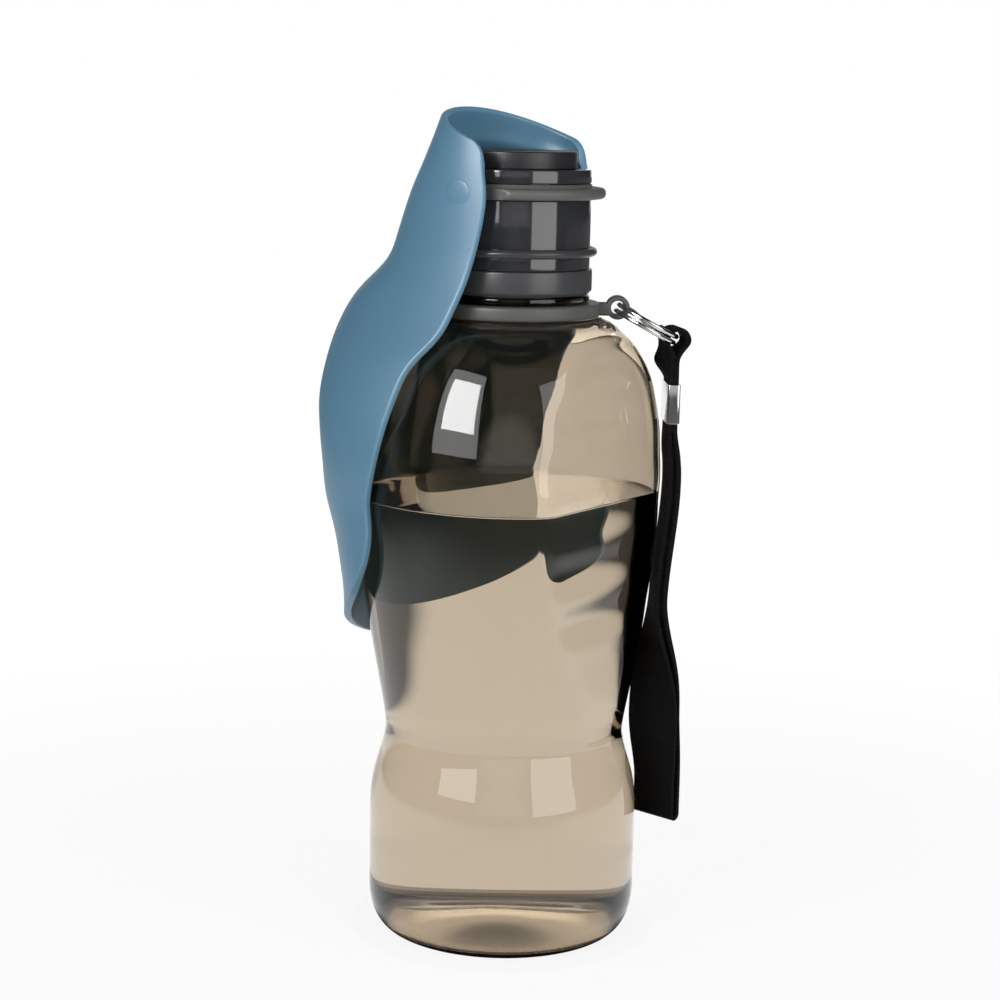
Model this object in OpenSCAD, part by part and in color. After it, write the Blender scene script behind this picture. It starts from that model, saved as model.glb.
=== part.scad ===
// Travel water bottle with a flip-out leaf-shaped drinking trough.
// Millimetres, +Z up. The origin is the centre of the ring that the bottle stands on.
// The trough hangs on the -Y side, the finger grip faces +Y, and the trough turns about an axis along X.

/* [Bottle] */
// Radius of the straight lower body
base_r = 39.9; // [37:0.1:42]
// Radius of the waist between lower body and belly
waist_r = 35.5; // [33:0.1:37]
// Radius of the belly, the widest part
belly_r = 45.8; // [43:0.1:49]
// Radius of the flat ring on top of the shoulder
shoulder_r = 25; // [24:0.1:28]
// Height of the straight lower body
base_h = 36; // [30:0.5:42]
// Height of the waist
waist_z = 61; // [56:0.5:66]
// Height of the belly's widest place
belly_z = 137; // [130:0.5:144]
// Height of the shoulder
shoulder_z = 184.6; // [178:0.1:196]
// Radius of the rounded heel
heel_r = 7; // [4:0.5:10]
// Width of the flat ring that the bottle stands on
foot_w = 3; // [2:0.1:5]
// Rise of the push-up under the base
push_up = 4.3; // [2:0.1:6]
// Thickness of the side wall
bottle_wall = 1.9; // [1.2:0.1:2.4]
// Thickness of the floor
floor_t = 2.5; // [1.5:0.1:4]

/* [Grip] */
// Distance from the bottle's axis to the flat finger grip
grip_y = 30; // [28:0.1:33]
// Height of the ramp that leads from the waist into the grip
grip_ramp_h = 30; // [20:0.5:36]
// Height of one finger groove
groove_pitch = 15; // [12:0.5:16]
// Depth of a finger groove
groove_depth = 1.5; // [0.8:0.1:2.2]
// Number of finger grooves
groove_count = 6; // [4:1:6]

/* [Neck] */
// Outer radius of the neck under the thread
neck_r = 17.8; // [17:0.1:18.6]
// Wall of the neck
neck_wall = 2.2; // [1.6:0.1:3]
// Height of the neck above the shoulder
neck_h = 21.4; // [20:0.1:23]
// How far the support flange stands out from the neck
flange_w = 4.4; // [3:0.1:4.6]
// Thickness of the support flange
flange_t = 1.7; // [1.2:0.1:2.4]

/* [Cap] */
// Radial room for the thread between neck and screw sleeve
thread_gap = 1.1; // [0.8:0.05:1.4]
// Wall of the screw sleeve
sleeve_wall = 1.45; // [1.2:0.05:2]
// Wall of the drum round the screw sleeve
drum_wall = 1.6; // [1.4:0.05:2.2]
// How far the satin skirt stands out from the drum
skirt_lip = 0.8; // [0.4:0.1:1.4]
// Height of the satin skirt
skirt_h = 7.3; // [6:0.1:9]
// Height of the glossy drum
drum_h = 20; // [19:0.1:23]
// Wire diameter of the round seal bead
bead_d = 2.5; // [2:0.1:2.8]
// Height of the bead above the drum's lower edge
bead_h = 4.85; // [4:0.1:6]
// Height of the top collar
collar_h = 3.9; // [3.6:0.1:5]
// Thickness of the neck gasket
gasket_t = 1.9; // [1.4:0.1:2.4]

/* [Spout] */
// Radius of the pull-up spout's disc
knob_r = 17.7; // [15:0.1:19]
// Height of the pull-up spout's disc
knob_h = 4.9; // [4:0.1:6]
// Radius of the hole that the water leaves through
spout_hole_r = 3; // [2.4:0.1:3.6]
// Outer radius of the spout's sleeve
sleeve_r = 7.9; // [7.4:0.1:8.4]
// Wall of the spout's sleeve
spout_wall = 2.4; // [2.2:0.1:2.8]
// How far the spout pulls up
spout_travel = 4; // [3:0.1:5]

/* [Hinge] */
// How far the hinge ring stands out from the drum
ring_lip = 4.2; // [3.6:0.1:4.6]
// Thickness of the hinge ring's round edge
ring_t = 3.2; // [2.6:0.1:3.6]
// Radius of a pivot boss
boss_r = 4; // [3.6:0.1:4.6]
// Radius of a pivot pin
pin_r = 2.2; // [1.8:0.1:2.4]
// Radius of a pivot pin's head
pin_head_r = 4; // [3.4:0.1:4.4]

/* [Trough] */
// Wall of the trough
leaf_wall = 2.2; // [1.6:0.1:2.4]
// Height of the trough's hood above the pivot, at its spine
hood_h = 24.3; // [22:0.1:27]
// How much lower the rim lies at the sides than at the spine
rim_slant = 7.9; // [5:0.1:10]
// How far the ridge inside the rim stands proud
rim_ridge = 0.9; // [0.4:0.1:1.2]
// How far the leaf's tip reaches below the belly's widest place
leaf_drop = 54; // [48:0.5:58]

/* [Strap] */
// Angle of the strap's ear from the middle of the grip
strap_angle = 37; // [20:1:40]
// Height of the strap's ring on the neck
strap_ring_t = 4; // [3:0.1:5]
// Radius of the ear's round end
ear_r = 3.5; // [3.2:0.1:4]
// Radius of the hole in the ear
ear_hole_r = 2; // [1.9:0.05:2.2]
// Thickness of the ear
ear_t = 4.5; // [3:0.1:5]
// Wire diameter of the split ring
wire_d = 1.4; // [1.2:0.05:1.5]
// Radius of the split ring at the middle of its wire
split_r = 9.7; // [9:0.1:11]
// Slope of the hanging split ring
split_tilt = 28; // [20:1:34]
// Width of the webbing
web_w = 15; // [12:0.5:18]
// Thickness of the webbing
web_t = 1.3; // [1:0.05:1.6]
// Length of the hand strap from the split ring to its lower end
strap_len = 145; // [125:1:150]
// Height of the crimp
crimp_h = 11.5; // [9:0.5:14]
// Sheet thickness of the crimp
crimp_t = 0.5; // [0.4:0.05:0.8]
// Turn of the webbing from the crimp to its lower end
web_twist = 43; // [0:1:50]

/* [Hidden] */
$fn = 64;

// Clearances: between turning pieces, between stacked faces, and round what hangs loose
fit_gap = 0.05;
seat_gap = 0.1;
loose_gap = 0.4;

// Bottle
foot_r = base_r - heel_r;
groove_cusp = 0.15;
groove_rise = groove_depth - groove_cusp;
groove_r = (pow(groove_pitch / 2, 2) + pow(groove_rise, 2)) / (2 * groove_rise);
grip_low_z = waist_z + 1;
grip_flat_z = grip_low_z + grip_ramp_h;
neck_bore_r = neck_r - neck_wall;
lip_z = shoulder_z + neck_h;

// Strap ring on the shoulder, support flange above it, then the cap's levels from below upwards
strap_ring_z = shoulder_z + seat_gap;
strap_ring_r = shoulder_r + 0.4;
flange_z = strap_ring_z + strap_ring_t + 0.5;
flange_r = neck_r + flange_w;
skirt_z = flange_z + flange_t + loose_gap;
drum_z = skirt_z + skirt_h;
seat_z = drum_z + drum_h;
ring_z = seat_z + seat_gap;
pivot_z = ring_z + ring_t / 2;
cone_h = 1.1;
deck_z = ring_z + ring_t + cone_h;
deck_t = 2.5;
spigot_h = 2.2;
collar_z = deck_z + 2 * seat_gap;
knob_z = collar_z + collar_h + seat_gap;
knob_top_z = knob_z + knob_h;

// Cap radii, from the neck outwards
screw_sleeve_r = neck_r + thread_gap;
drum_bore_r = screw_sleeve_r + sleeve_wall + fit_gap;
cap_r = drum_bore_r + drum_wall;
skirt_r = cap_r + skirt_lip;
seat_r = cap_r - 2;
spigot_r = cap_r - 4;
ring_r = cap_r + ring_lip;
bead_r = cap_r + 0.85;
edge = 0.4;

// Inner parts of the cap
gasket_z = lip_z + seat_gap;
guide_z = gasket_z + gasket_t + seat_gap;
guide_flange_t = 1.5;
ledge_z = guide_z + guide_flange_t + seat_gap;
guide_bore_r = sleeve_r + seat_gap;
guide_wall = 1.4;
guide_tube_r = guide_bore_r + guide_wall;
guide_top_z = deck_z + 1;
spider_h = 2.5;
spider_t = 1.6;
spider_ribs = 3;
sleeve_z = guide_z + spider_h + 3.4;
oring_d = 1.3;
oring_z = sleeve_z + 3;

// Hinge
flat_x = ring_r - 3.4;
boss_x0 = cap_r + 0.2;
boss_x1 = ring_r + 0.4;
pin_seat_x = ring_r + 2;
pin_head_t = 1.6;

// Trough. Each section is an ellipse across the leaf, open towards the bottle:
// height, half depth, offset of its centre, half width, and how far it wraps round in degrees.
leaf_low_z = belly_z - 7;
leaf_tip_z = belly_z - leaf_drop;
leaf_sections = [
    [pivot_z + hood_h + 2, ring_r - 9.4, 0, ring_r - 0.6, 106],
    [pivot_z + 15.7, ring_r - 4.3, 0, ring_r + 1.3, 106],
    [pivot_z + 7.7, ring_r, 0, ring_r + 2.4, 106],
    [pivot_z - 0.3, ring_r + 4.6, 0, ring_r + 3.1, 106],
    [pivot_z - 11.3, ring_r + 9.2, 0, ring_r + 3.8, 102],
    [pivot_z - 20.3, ring_r + 13.2, 0, ring_r + 4.8, 98],
    [shoulder_z + 5.4, belly_r + 5.2, 0, belly_r - 12.3, 93],
    [shoulder_z - 3.6, belly_r + 7.7, 3, belly_r - 8.5, 93],
    [belly_z + 35, belly_r + 4.6, 8, belly_r - 3.8, 91],
    [belly_z + 23, belly_r + 3.1, 11, belly_r - 0.5, 90],
    [belly_z + 13, belly_r + 0.7, 12, belly_r + 1.1, 88],
    [belly_z + 3, belly_r - 0.6, 12, belly_r + 0.7, 84],
    [leaf_low_z, belly_r - 1.2, 12, belly_r - 1.1, 80],
    [belly_z - 17, belly_r - 2.3, 9, belly_r - 0.3, 80],
    [belly_z - 27, belly_r - 1, 5, belly_r + 1.2, 80],
    [belly_z - 37, belly_r + 1.5, 1, belly_r + 2.4, 80],
    [leaf_tip_z - 2, belly_r + 2.6, 0, belly_r + 2.6, 80],
];
leaf_columns = 32;
rim_rows = 4;
side_rows = 26;
tip_rows = 10;
corner_r = 4;
slant_reach = 40;

// Strap: ear, split ring and webbing, in a frame turned by strap_angle
ear_y = shoulder_r + 5.6;
ear_z = shoulder_z + 2.6;
turn_gap = 0.45;
turn_pitch = wire_d + turn_gap;
split_y = ear_y + split_r * cos(split_tilt);
split_z = ear_z - split_r * sin(split_tilt);
hang_y = ear_y + 2 * split_r * cos(split_tilt);
hang_z = ear_z - 2 * split_r * sin(split_tilt);
jog = 30;
turn_steps = 24;
wire_sides = 8;
hang_r = 2.6;
narrow_w = 9;
crimp_y = max(hang_y - 0.6, belly_r + 1.3);
crimp_z = hang_z - 12.6 - crimp_h;
layer_gap = 0.1;
strap_y = max(hang_y + 0.4, belly_r + 2.35);
strap_z = hang_z - strap_len + 1.3 + web_t / 2;

// A cubic curve through its two end points, without its last point
function bezier(a, b, c, d, n) = [
    for (i = [0 : n - 1])
        let (t = i / n, s = 1 - t)
            pow(s, 3) * a + 3 * s * s * t * b + 3 * s * t * t * c + pow(t, 3) * d
];

// A value between two others, at a share of the way
function between(a, b, share) = a + (b - a) * share;

// A smooth step from 0 to 1 as x goes from a to b
function smooth(a, b, x) = let (t = min(max((x - a) / (b - a), 0), 1)) t * t * (3 - 2 * t);

// Half of the bottle's section, set in by the wall for its inside
function body_outline(inset, floor) = concat(
    [for (i = [0 : 8]) [(foot_r - foot_w) * i / 8, floor + push_up * (1 + cos(180 * i / 8)) / 2]],
    [for (i = [0 : 6]) [foot_r + (heel_r - inset) * sin(15 * i), floor + (heel_r - floor) * (1 - cos(15 * i))]],
    bezier([base_r - inset, base_h],
        [base_r - inset, between(base_h, waist_z, 0.56)],
        [waist_r + 1 - inset, between(base_h, waist_z, 0.64)],
        [waist_r - inset, waist_z], 8),
    bezier([waist_r - inset, waist_z],
        [waist_r - inset, between(waist_z, belly_z, 0.12)],
        [belly_r - inset, between(waist_z, belly_z, 0.62)],
        [belly_r - inset, belly_z], 10),
    bezier([belly_r - inset, belly_z],
        [belly_r - inset, between(belly_z, shoulder_z, 0.59)],
        [shoulder_r + 11 - 0.6 * inset, shoulder_z - 2.1 - 0.9 * inset],
        [shoulder_r, shoulder_z - inset], 11),
    [[shoulder_r, shoulder_z - inset], [0, shoulder_z - inset]]
);

// What the finger grip takes away from the body
module grip_cut(inset) {
    reach = belly_r + 10;
    rotate([90, 0, 90])
        linear_extrude(height = 2 * reach, center = true)
            polygon([
                [grip_y - inset, shoulder_z + 5],
                [grip_y - inset, grip_flat_z],
                [waist_r + 0.3 - inset, grip_low_z],
                [reach, grip_low_z],
                [reach, shoulder_z + 5]
            ]);
    for (i = [0 : groove_count - 1])
        translate([0, grip_y - groove_depth + groove_r, grip_flat_z + (i + 0.5) * groove_pitch])
            rotate([0, 90, 0])
                cylinder(r = groove_r + inset, h = 2 * reach, center = true);
}

module body_form(inset, floor) {
    rotate_extrude() polygon(body_outline(inset, floor));
}

// A ring with a square section
module flat_ring(outer, inner, z, h) {
    translate([0, 0, z])
        difference() {
            cylinder(r = outer, h = h);
            translate([0, 0, -1]) cylinder(r = inner, h = h + 2);
        }
}

// A solid of revolution from a list of radius and height pairs
module turned(points) {
    rotate_extrude() polygon(points);
}

// A round ring
module torus(ring, tube, z) {
    translate([0, 0, z])
        rotate_extrude() translate([ring, 0]) circle(r = tube, $fn = 48);
}

module neck_form() {
    difference() {
        union() {
            translate([0, 0, shoulder_z - 1]) cylinder(r = neck_r, h = neck_h + 1);
            translate([0, 0, flange_z]) cylinder(r = flange_r, h = flange_t);
        }
        neck_bore();
    }
}

module neck_bore() {
    translate([0, 0, shoulder_z - bottle_wall - 1])
        cylinder(r = neck_bore_r, h = neck_h + bottle_wall + 2);
}

module bottle() {
    color([0.45, 0.39, 0.34, 0.55]) {
        // Round shell, open where the grip is
        difference() {
            body_form(0, 0);
            body_form(bottle_wall, floor_t);
            neck_bore();
            grip_cut(0);
        }
        // Wall of the finger grip, from the middle of the round wall
        difference() {
            intersection() {
                body_form(bottle_wall / 2, floor_t / 2);
                grip_cut(bottle_wall);
            }
            grip_cut(0);
        }
        neck_form();
        // Gate mark under the push-up
        translate([0, 0, push_up - 0.8]) cylinder(r = 2.2, h = 1.2, $fn = 32);
    }
}

module strap_frame() {
    rotate([0, 0, strap_angle]) children();
}

module strap_ring() {
    round_r = 0.8;
    z0 = strap_ring_z;
    z1 = strap_ring_z + strap_ring_t;
    r0 = neck_r + 0.9;
    color("dimgray")
        difference() {
            union() {
                turned([
                    [r0, z0], [strap_ring_r - round_r, z0], [strap_ring_r, z0 + round_r],
                    [strap_ring_r, z1 - round_r], [strap_ring_r - round_r, z1], [r0, z1]
                ]);
                strap_frame() {
                    translate([-ear_t / 2, strap_ring_r - 2, z0])
                        cube([ear_t, ear_y - strap_ring_r + 2, strap_ring_t]);
                    translate([0, ear_y, ear_z])
                        rotate([0, 90, 0]) cylinder(r = ear_r, h = ear_t, center = true);
                }
            }
            strap_frame()
                translate([0, ear_y, ear_z])
                    rotate([0, 90, 0]) cylinder(r = ear_hole_r, h = ear_t + 2, center = true);
        }
}

// Place along the split ring's axis: one flat turn, a short jog, then the second turn on top
function turn_height(angle) = turn_pitch * (smooth(360 - jog, 360 + jog, angle) - 0.5);

function wire_point(angle, out, up) = [
    (split_r + out) * cos(angle),
    (split_r + out) * sin(angle),
    turn_height(angle) + up
];

module split_ring() {
    first = jog + 3;
    last = 720 - jog - 3;
    steps = 2 * turn_steps;
    angles = [for (i = [0 : steps]) between(first, last, i / steps)];
    points = [
        for (a = angles, k = [0 : wire_sides - 1])
            let (turn = 360 * (k + 0.5) / wire_sides)
                wire_point(a + 180, wire_d / 2 * cos(turn), wire_d / 2 * sin(turn))
                    + [0, 0, turn_height(a) - turn_height(a + 180)]
    ];
    sides = [
        for (i = [0 : steps - 1], k = [0 : wire_sides - 1])
            let (n = (k + 1) % wire_sides, p = i * wire_sides, q = p + wire_sides)
                for (f = [[p + k, q + k, q + n], [p + k, q + n, p + n]]) f
    ];
    ends = concat(
        [for (k = [1 : wire_sides - 2]) [0, k, k + 1]],
        [for (k = [1 : wire_sides - 2]) [for (v = [0, k + 1, k]) steps * wire_sides + v]]
    );
    gap = min([
        for (a = angles, b = angles)
            if (b - a > 90)
                norm(wire_point(a, 0, 0) - wire_point(b, 0, 0)) - wire_d
    ]);
    echo(split_ring_gap = gap);
    color("silver")
        strap_frame()
            translate([0, split_y, split_z])
                rotate([-split_tilt, 0, 0])
                    polyhedron(points = points, faces = concat(sides, ends), convexity = 8);
}

// Middle of the webbing, half distance of its two layers, its width and its turn, all by height
function web_y(z) = between(
    between(strap_y, crimp_y, smooth(crimp_z - 16, crimp_z - 2, z)), hang_y,
    smooth(crimp_z + crimp_h + 1, hang_z, z));
function web_half(z) = between(
    between(1.3, (web_t + layer_gap) / 2, smooth(crimp_z - 10, crimp_z - 1, z)), hang_r + web_t / 2,
    smooth(crimp_z + crimp_h + 0.5, hang_z, z));
function web_width(z) = between(web_w, narrow_w, smooth(crimp_z + crimp_h + 0.5, hang_z - 2, z));
function web_turn(z) = web_twist * (1 - smooth(strap_z + 8, crimp_z - 54, z));

// Four corners of the webbing: offset from its middle line, height and the direction of its normal
function web_ring(off, z, ny, nz) = [
    for (c = [[-1, -1], [1, -1], [1, 1], [-1, 1]])
        let (
            level = min(max(z, strap_z), hang_z),
            turn = web_turn(level),
            x = c[0] * web_width(level) / 2,
            y = off + c[1] * web_t / 2 * ny
        )
            [x * cos(turn) - y * sin(turn), web_y(level) + x * sin(turn) + y * cos(turn), z + c[1] * web_t / 2 * nz]
];

module wrist_strap() {
    low_steps = 22;
    bend_steps = 6;
    top_steps = 10;
    crimp_top = crimp_z + crimp_h;
    levels = concat(
        [for (i = [0 : 5]) between(hang_z, crimp_top + 0.5, i / 6)],
        [crimp_top + 0.5, crimp_z - 1],
        [for (i = [1 : low_steps]) between(crimp_z - 1, strap_z, i / low_steps)]
    );
    count = len(levels);
    rings = concat(
        [for (i = [0 : count - 1]) web_ring(web_half(levels[i]), levels[i], 1, 0)],
        [for (i = [1 : bend_steps - 1])
            let (a = 180 * i / bend_steps)
                web_ring(1.3 * cos(a), strap_z - 1.3 * sin(a), cos(a), -sin(a))],
        [for (i = [count - 1 : -1 : 0]) web_ring(-web_half(levels[i]), levels[i], -1, 0)],
        [for (i = [1 : top_steps - 1])
            let (a = 180 - 180 * i / top_steps, r = hang_r + web_t / 2)
                web_ring(r * cos(a), hang_z + r * sin(a), cos(a), sin(a))]
    );
    total = len(rings);
    faces = [
        for (i = [0 : total - 1], k = [0 : 3])
            let (n = (k + 1) % 4, p = 4 * i, q = 4 * ((i + 1) % total))
                for (f = [[p + k, q + k, q + n], [p + k, q + n, p + n]]) f
    ];
    color([0.08, 0.08, 0.09])
        strap_frame()
            polyhedron(points = [for (r = rings, p = r) p], faces = faces, convexity = 8);
}

// A rectangle with round corners, square when the radius is nothing
module round_rect(w, h, r) {
    square([w - 2 * r, h], center = true);
    square([w, h - 2 * r], center = true);
    for (x = [-1, 1], y = [-1, 1])
        translate([x * (w / 2 - r), y * (h / 2 - r)]) circle(r = r, $fn = 24);
}

module strap_crimp() {
    inner_w = web_w + 2 * fit_gap;
    inner_h = 2 * web_t + layer_gap + 2 * fit_gap;
    color("silver")
        strap_frame()
            translate([0, crimp_y, crimp_z])
                linear_extrude(height = crimp_h)
                    difference() {
                        round_rect(inner_w + 2 * crimp_t, inner_h + 2 * crimp_t, 0.8);
                        square([inner_w, inner_h], center = true);
                    }
}

module screw_collar() {
    foot = 0.9;
    sleeve_top = guide_z - seat_gap;
    color([0.33, 0.34, 0.35])
        turned([
            [screw_sleeve_r, skirt_z],
            [skirt_r - foot, skirt_z],
            [skirt_r - foot * 0.3, skirt_z + foot * 0.3],
            [skirt_r, skirt_z + foot],
            [skirt_r, drum_z - seat_gap],
            [screw_sleeve_r + sleeve_wall, drum_z - seat_gap],
            [screw_sleeve_r + sleeve_wall, sleeve_top],
            [screw_sleeve_r, sleeve_top]
        ]);
}

module cap_drum() {
    bore = guide_tube_r + fit_gap;
    upper_bore = seat_r - 2;
    color([0.2, 0.2, 0.22])
        difference() {
            turned([
                [drum_bore_r, drum_z],
                [cap_r - edge, drum_z],
                [cap_r, drum_z + edge],
                [cap_r, seat_z - edge],
                [cap_r - edge, seat_z],
                [seat_r, seat_z],
                [seat_r, deck_z],
                [spigot_r, deck_z],
                [spigot_r, deck_z + spigot_h],
                [bore, deck_z + spigot_h],
                [bore, deck_z - deck_t],
                [upper_bore, deck_z - deck_t],
                [upper_bore, ledge_z],
                [drum_bore_r, ledge_z]
            ]);
            torus(bead_r, bead_d / 2 + fit_gap, drum_z + bead_h);
        }
}

module seal_bead() {
    color([0.3, 0.31, 0.32]) torus(bead_r, bead_d / 2, drum_z + bead_h);
}

module cap_collar() {
    pocket_r = spigot_r + seat_gap;
    pocket_z = deck_z + spigot_h + seat_gap;
    top_z = collar_z + collar_h;
    bore = guide_tube_r + 0.6;
    color([0.2, 0.2, 0.22])
        turned([
            [pocket_r, collar_z],
            [cap_r - edge, collar_z],
            [cap_r, collar_z + edge],
            [cap_r, top_z - 1.5 * edge],
            [cap_r - 1.5 * edge, top_z],
            [bore, top_z],
            [bore, pocket_z],
            [pocket_r, pocket_z]
        ]);
}

// A cylinder along X, on either side of the cap
module pivot_rod(x0, x1, r) {
    for (side = [-1, 1])
        translate([side * (x0 + x1) / 2, 0, pivot_z])
            rotate([0, 90, 0]) cylinder(r = r, h = x1 - x0, center = true);
}

module hinge_ring() {
    bore = seat_r + fit_gap;
    round_r = ring_t / 2;
    color([0.36, 0.36, 0.36])
        difference() {
            union() {
                intersection() {
                    rotate_extrude() {
                        polygon([
                            [bore, ring_z],
                            [ring_r - round_r, ring_z],
                            [ring_r - round_r, ring_z + ring_t],
                            [cap_r, deck_z],
                            [bore, deck_z]
                        ]);
                        translate([ring_r - round_r, pivot_z]) circle(r = round_r, $fn = 48);
                    }
                    cube([2 * flat_x, 4 * ring_r, 4 * pivot_z], center = true);
                }
                pivot_rod(boss_x0, boss_x1, boss_r);
            }
            pivot_rod(boss_x0 + 0.2, boss_x1 + 1, pin_r + fit_gap);
        }
}

module hinge_pins() {
    color([0.36, 0.47, 0.55]) {
        pivot_rod(boss_x0 + 0.4, pin_seat_x + fit_gap, pin_r);
        pivot_rod(pin_seat_x + fit_gap, pin_seat_x + pin_head_t, pin_head_r);
    }
}

// A curve through the leaf's sections, for its smooth form between them
function through(p, q, r, s, t) = q + 0.5 * t * (r - p + t * (2 * p - 5 * q + 4 * r - s + t * (3 * q - 3 * r + s - p)));

leaf_count = len(leaf_sections);
leaf_table = [
    for (i = [0 : leaf_count - 2], t = [0 : 0.2 : 0.9])
        through(leaf_sections[max(i - 1, 0)], leaf_sections[i], leaf_sections[i + 1],
            leaf_sections[min(i + 2, leaf_count - 1)], t),
    leaf_sections[leaf_count - 1]
];
depth_table = [for (s = leaf_table) [s[0], s[1]]];
offset_table = [for (s = leaf_table) [s[0], s[2]]];
width_table = [for (s = leaf_table) [s[0], s[3]]];
wrap_table = [for (s = leaf_table) [s[0], s[4]]];

// A point of the leaf's outer skin, at a height and an angle from its spine
function leaf_skin(z, a) = [
    lookup(z, width_table) * sin(a),
    -lookup(z, offset_table) - lookup(z, depth_table) * cos(a),
    z
];

// The direction out of the skin there
function leaf_normal(z, a) =
    let (
        across = leaf_skin(z, a + 1) - leaf_skin(z, a - 1),
        up = leaf_skin(z + 1, a) - leaf_skin(z - 1, a),
        n = cross(across, up)
    )
        n / norm(n);

// Height of a row at the leaf's sides: even steps down its sides, then closing round the tip
rim_z = pivot_z + hood_h - rim_slant;
function row_height(i) =
    i <= rim_rows ? rim_z - corner_r * (1 - cos(90 * i / rim_rows))
    : i <= rim_rows + side_rows ? between(rim_z - corner_r, leaf_low_z, (i - rim_rows) / side_rows)
    : between(leaf_low_z, leaf_tip_z, sin(90 * (i - rim_rows - side_rows) / tip_rows));
// The leaf narrows to its rounded tip along a cosine
function tip_wrap(z) = pow(cos(90 * (leaf_low_z - z) / (leaf_low_z - leaf_tip_z)), 0.8);
// How far a row wraps round: rounded corners at the rim, and nothing left at the tip
function row_wrap(i) =
    i <= rim_rows ? lookup(row_height(i), wrap_table) - 9 * (1 - sin(90 * i / rim_rows))
    : i <= rim_rows + side_rows ? lookup(row_height(i), wrap_table)
    : lookup(leaf_low_z, wrap_table) * tip_wrap(row_height(i));
// Place of a row's point: the rows near the rim slant with it
function row_z(i, a) =
    let (level = row_height(i), near = max(0, 1 - (rim_z - level) / slant_reach))
        level + rim_slant * near * near * cos(a);
// How thick the wall is: the ridge runs inside, parallel to the rim
function row_wall(i) = leaf_wall + rim_ridge * max(0, 1 - abs(rim_z - row_height(i) - 6.5) / 2.6);

module leaf_shell() {
    rows = rim_rows + side_rows + tip_rows;
    cols = leaf_columns;
    angle = function(i, j) row_wrap(i) * (2 * j / cols - 1);
    outer = [for (i = [0 : rows - 1], j = [0 : cols]) leaf_skin(row_z(i, angle(i, j)), angle(i, j))];
    inner = [
        for (i = [0 : rows - 1], j = [0 : cols])
            let (a = angle(i, j), z = row_z(i, a))
                leaf_skin(z, a) - row_wall(i) * leaf_normal(z, a)
    ];
    tip = leaf_skin(leaf_tip_z, 0);
    tips = [tip, tip - leaf_wall * leaf_normal(leaf_tip_z + 1, 0)];
    half = rows * (cols + 1);
    at = function(i, j) i * (cols + 1) + j;
    skin_faces = [
        for (i = [0 : rows - 2], j = [0 : cols - 1])
            let (p = at(i, j), q = at(i, j + 1), r = at(i + 1, j + 1), s = at(i + 1, j))
                for (f = [[p, q, r], [p, r, s], [half + p, half + r, half + q], [half + p, half + s, half + r]]) f
    ];
    tip_faces = [
        for (j = [0 : cols - 1])
            let (p = at(rows - 1, j), q = at(rows - 1, j + 1))
                for (f = [[p, q, 2 * half], [half + p, 2 * half + 1, half + q]]) f
    ];
    rim_faces = [
        for (j = [0 : cols - 1])
            let (p = at(0, j), q = at(0, j + 1))
                for (f = [[p, half + p, q], [q, half + p, half + q]]) f
    ];
    side_faces = [
        for (i = [0 : rows - 2])
            let (p = at(i, 0), q = at(i + 1, 0), r = at(i, cols), s = at(i + 1, cols))
                for (f = [[p, q, half + p], [q, half + q, half + p], [r, half + r, s], [s, half + r, half + s]]) f
    ];
    a = at(rows - 1, 0);
    b = at(rows - 1, cols);
    last_faces = [
        [a, 2 * half, half + a], [2 * half, 2 * half + 1, half + a],
        [b, half + b, 2 * half], [2 * half, half + b, 2 * half + 1]
    ];
    polyhedron(
        points = concat(outer, inner, tips),
        faces = concat(skin_faces, tip_faces, rim_faces, side_faces, last_faces),
        convexity = 10
    );
}

module trough() {
    color([0.36, 0.47, 0.55])
        difference() {
            leaf_shell();
            pivot_rod(boss_x1 - 2, pin_seat_x + 4, pin_r + fit_gap);
            pivot_rod(pin_seat_x, pin_seat_x + 6, pin_head_r + seat_gap);
        }
}

module pull_spout() {
    bore = sleeve_r - spout_wall;
    land = spout_travel - 1.5;
    groove = sleeve_r - oring_d;
    color([0.16, 0.16, 0.17])
        turned([
            [bore, sleeve_z],
            [bore, knob_top_z - land],
            [spout_hole_r, knob_top_z - land],
            [spout_hole_r, knob_top_z],
            [knob_r - 1.5 * edge, knob_top_z],
            [knob_r, knob_top_z - 1.5 * edge],
            [knob_r, knob_z],
            [sleeve_r, knob_z],
            [sleeve_r, oring_z + 1],
            [groove, oring_z + 1],
            [groove, oring_z - 1],
            [sleeve_r, oring_z - 1],
            [sleeve_r, sleeve_z]
        ]);
}

module spout_oring() {
    color([0.1, 0.1, 0.1]) torus(sleeve_r - oring_d / 2 + 0.03, oring_d / 2, oring_z);
}

module spout_guide() {
    flange_out = drum_bore_r - 0.5;
    pin_top = knob_top_z - 0.7;
    color([0.75, 0.75, 0.72]) {
        flat_ring(flange_out, guide_bore_r, guide_z, guide_flange_t);
        flat_ring(guide_tube_r, guide_bore_r, guide_z, guide_top_z - guide_z);
        translate([0, 0, guide_z]) cylinder(r = spout_hole_r - fit_gap, h = pin_top - guide_z);
        for (i = [0 : spider_ribs - 1])
            rotate([0, 0, i * 360 / spider_ribs])
                translate([-spider_t / 2, spout_hole_r / 2, guide_z])
                    cube([spider_t, guide_bore_r + guide_wall / 2 - spout_hole_r / 2, spider_h]);
    }
}

module neck_gasket() {
    color([0.85, 0.85, 0.82])
        flat_ring(screw_sleeve_r - 0.3, neck_bore_r, gasket_z, gasket_t);
}

bottle();
strap_ring();
split_ring();
wrist_strap();
strap_crimp();
screw_collar();
cap_drum();
seal_bead();
cap_collar();
hinge_ring();
trough();
hinge_pins();
pull_spout();
spout_oring();
spout_guide();
neck_gasket();
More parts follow.
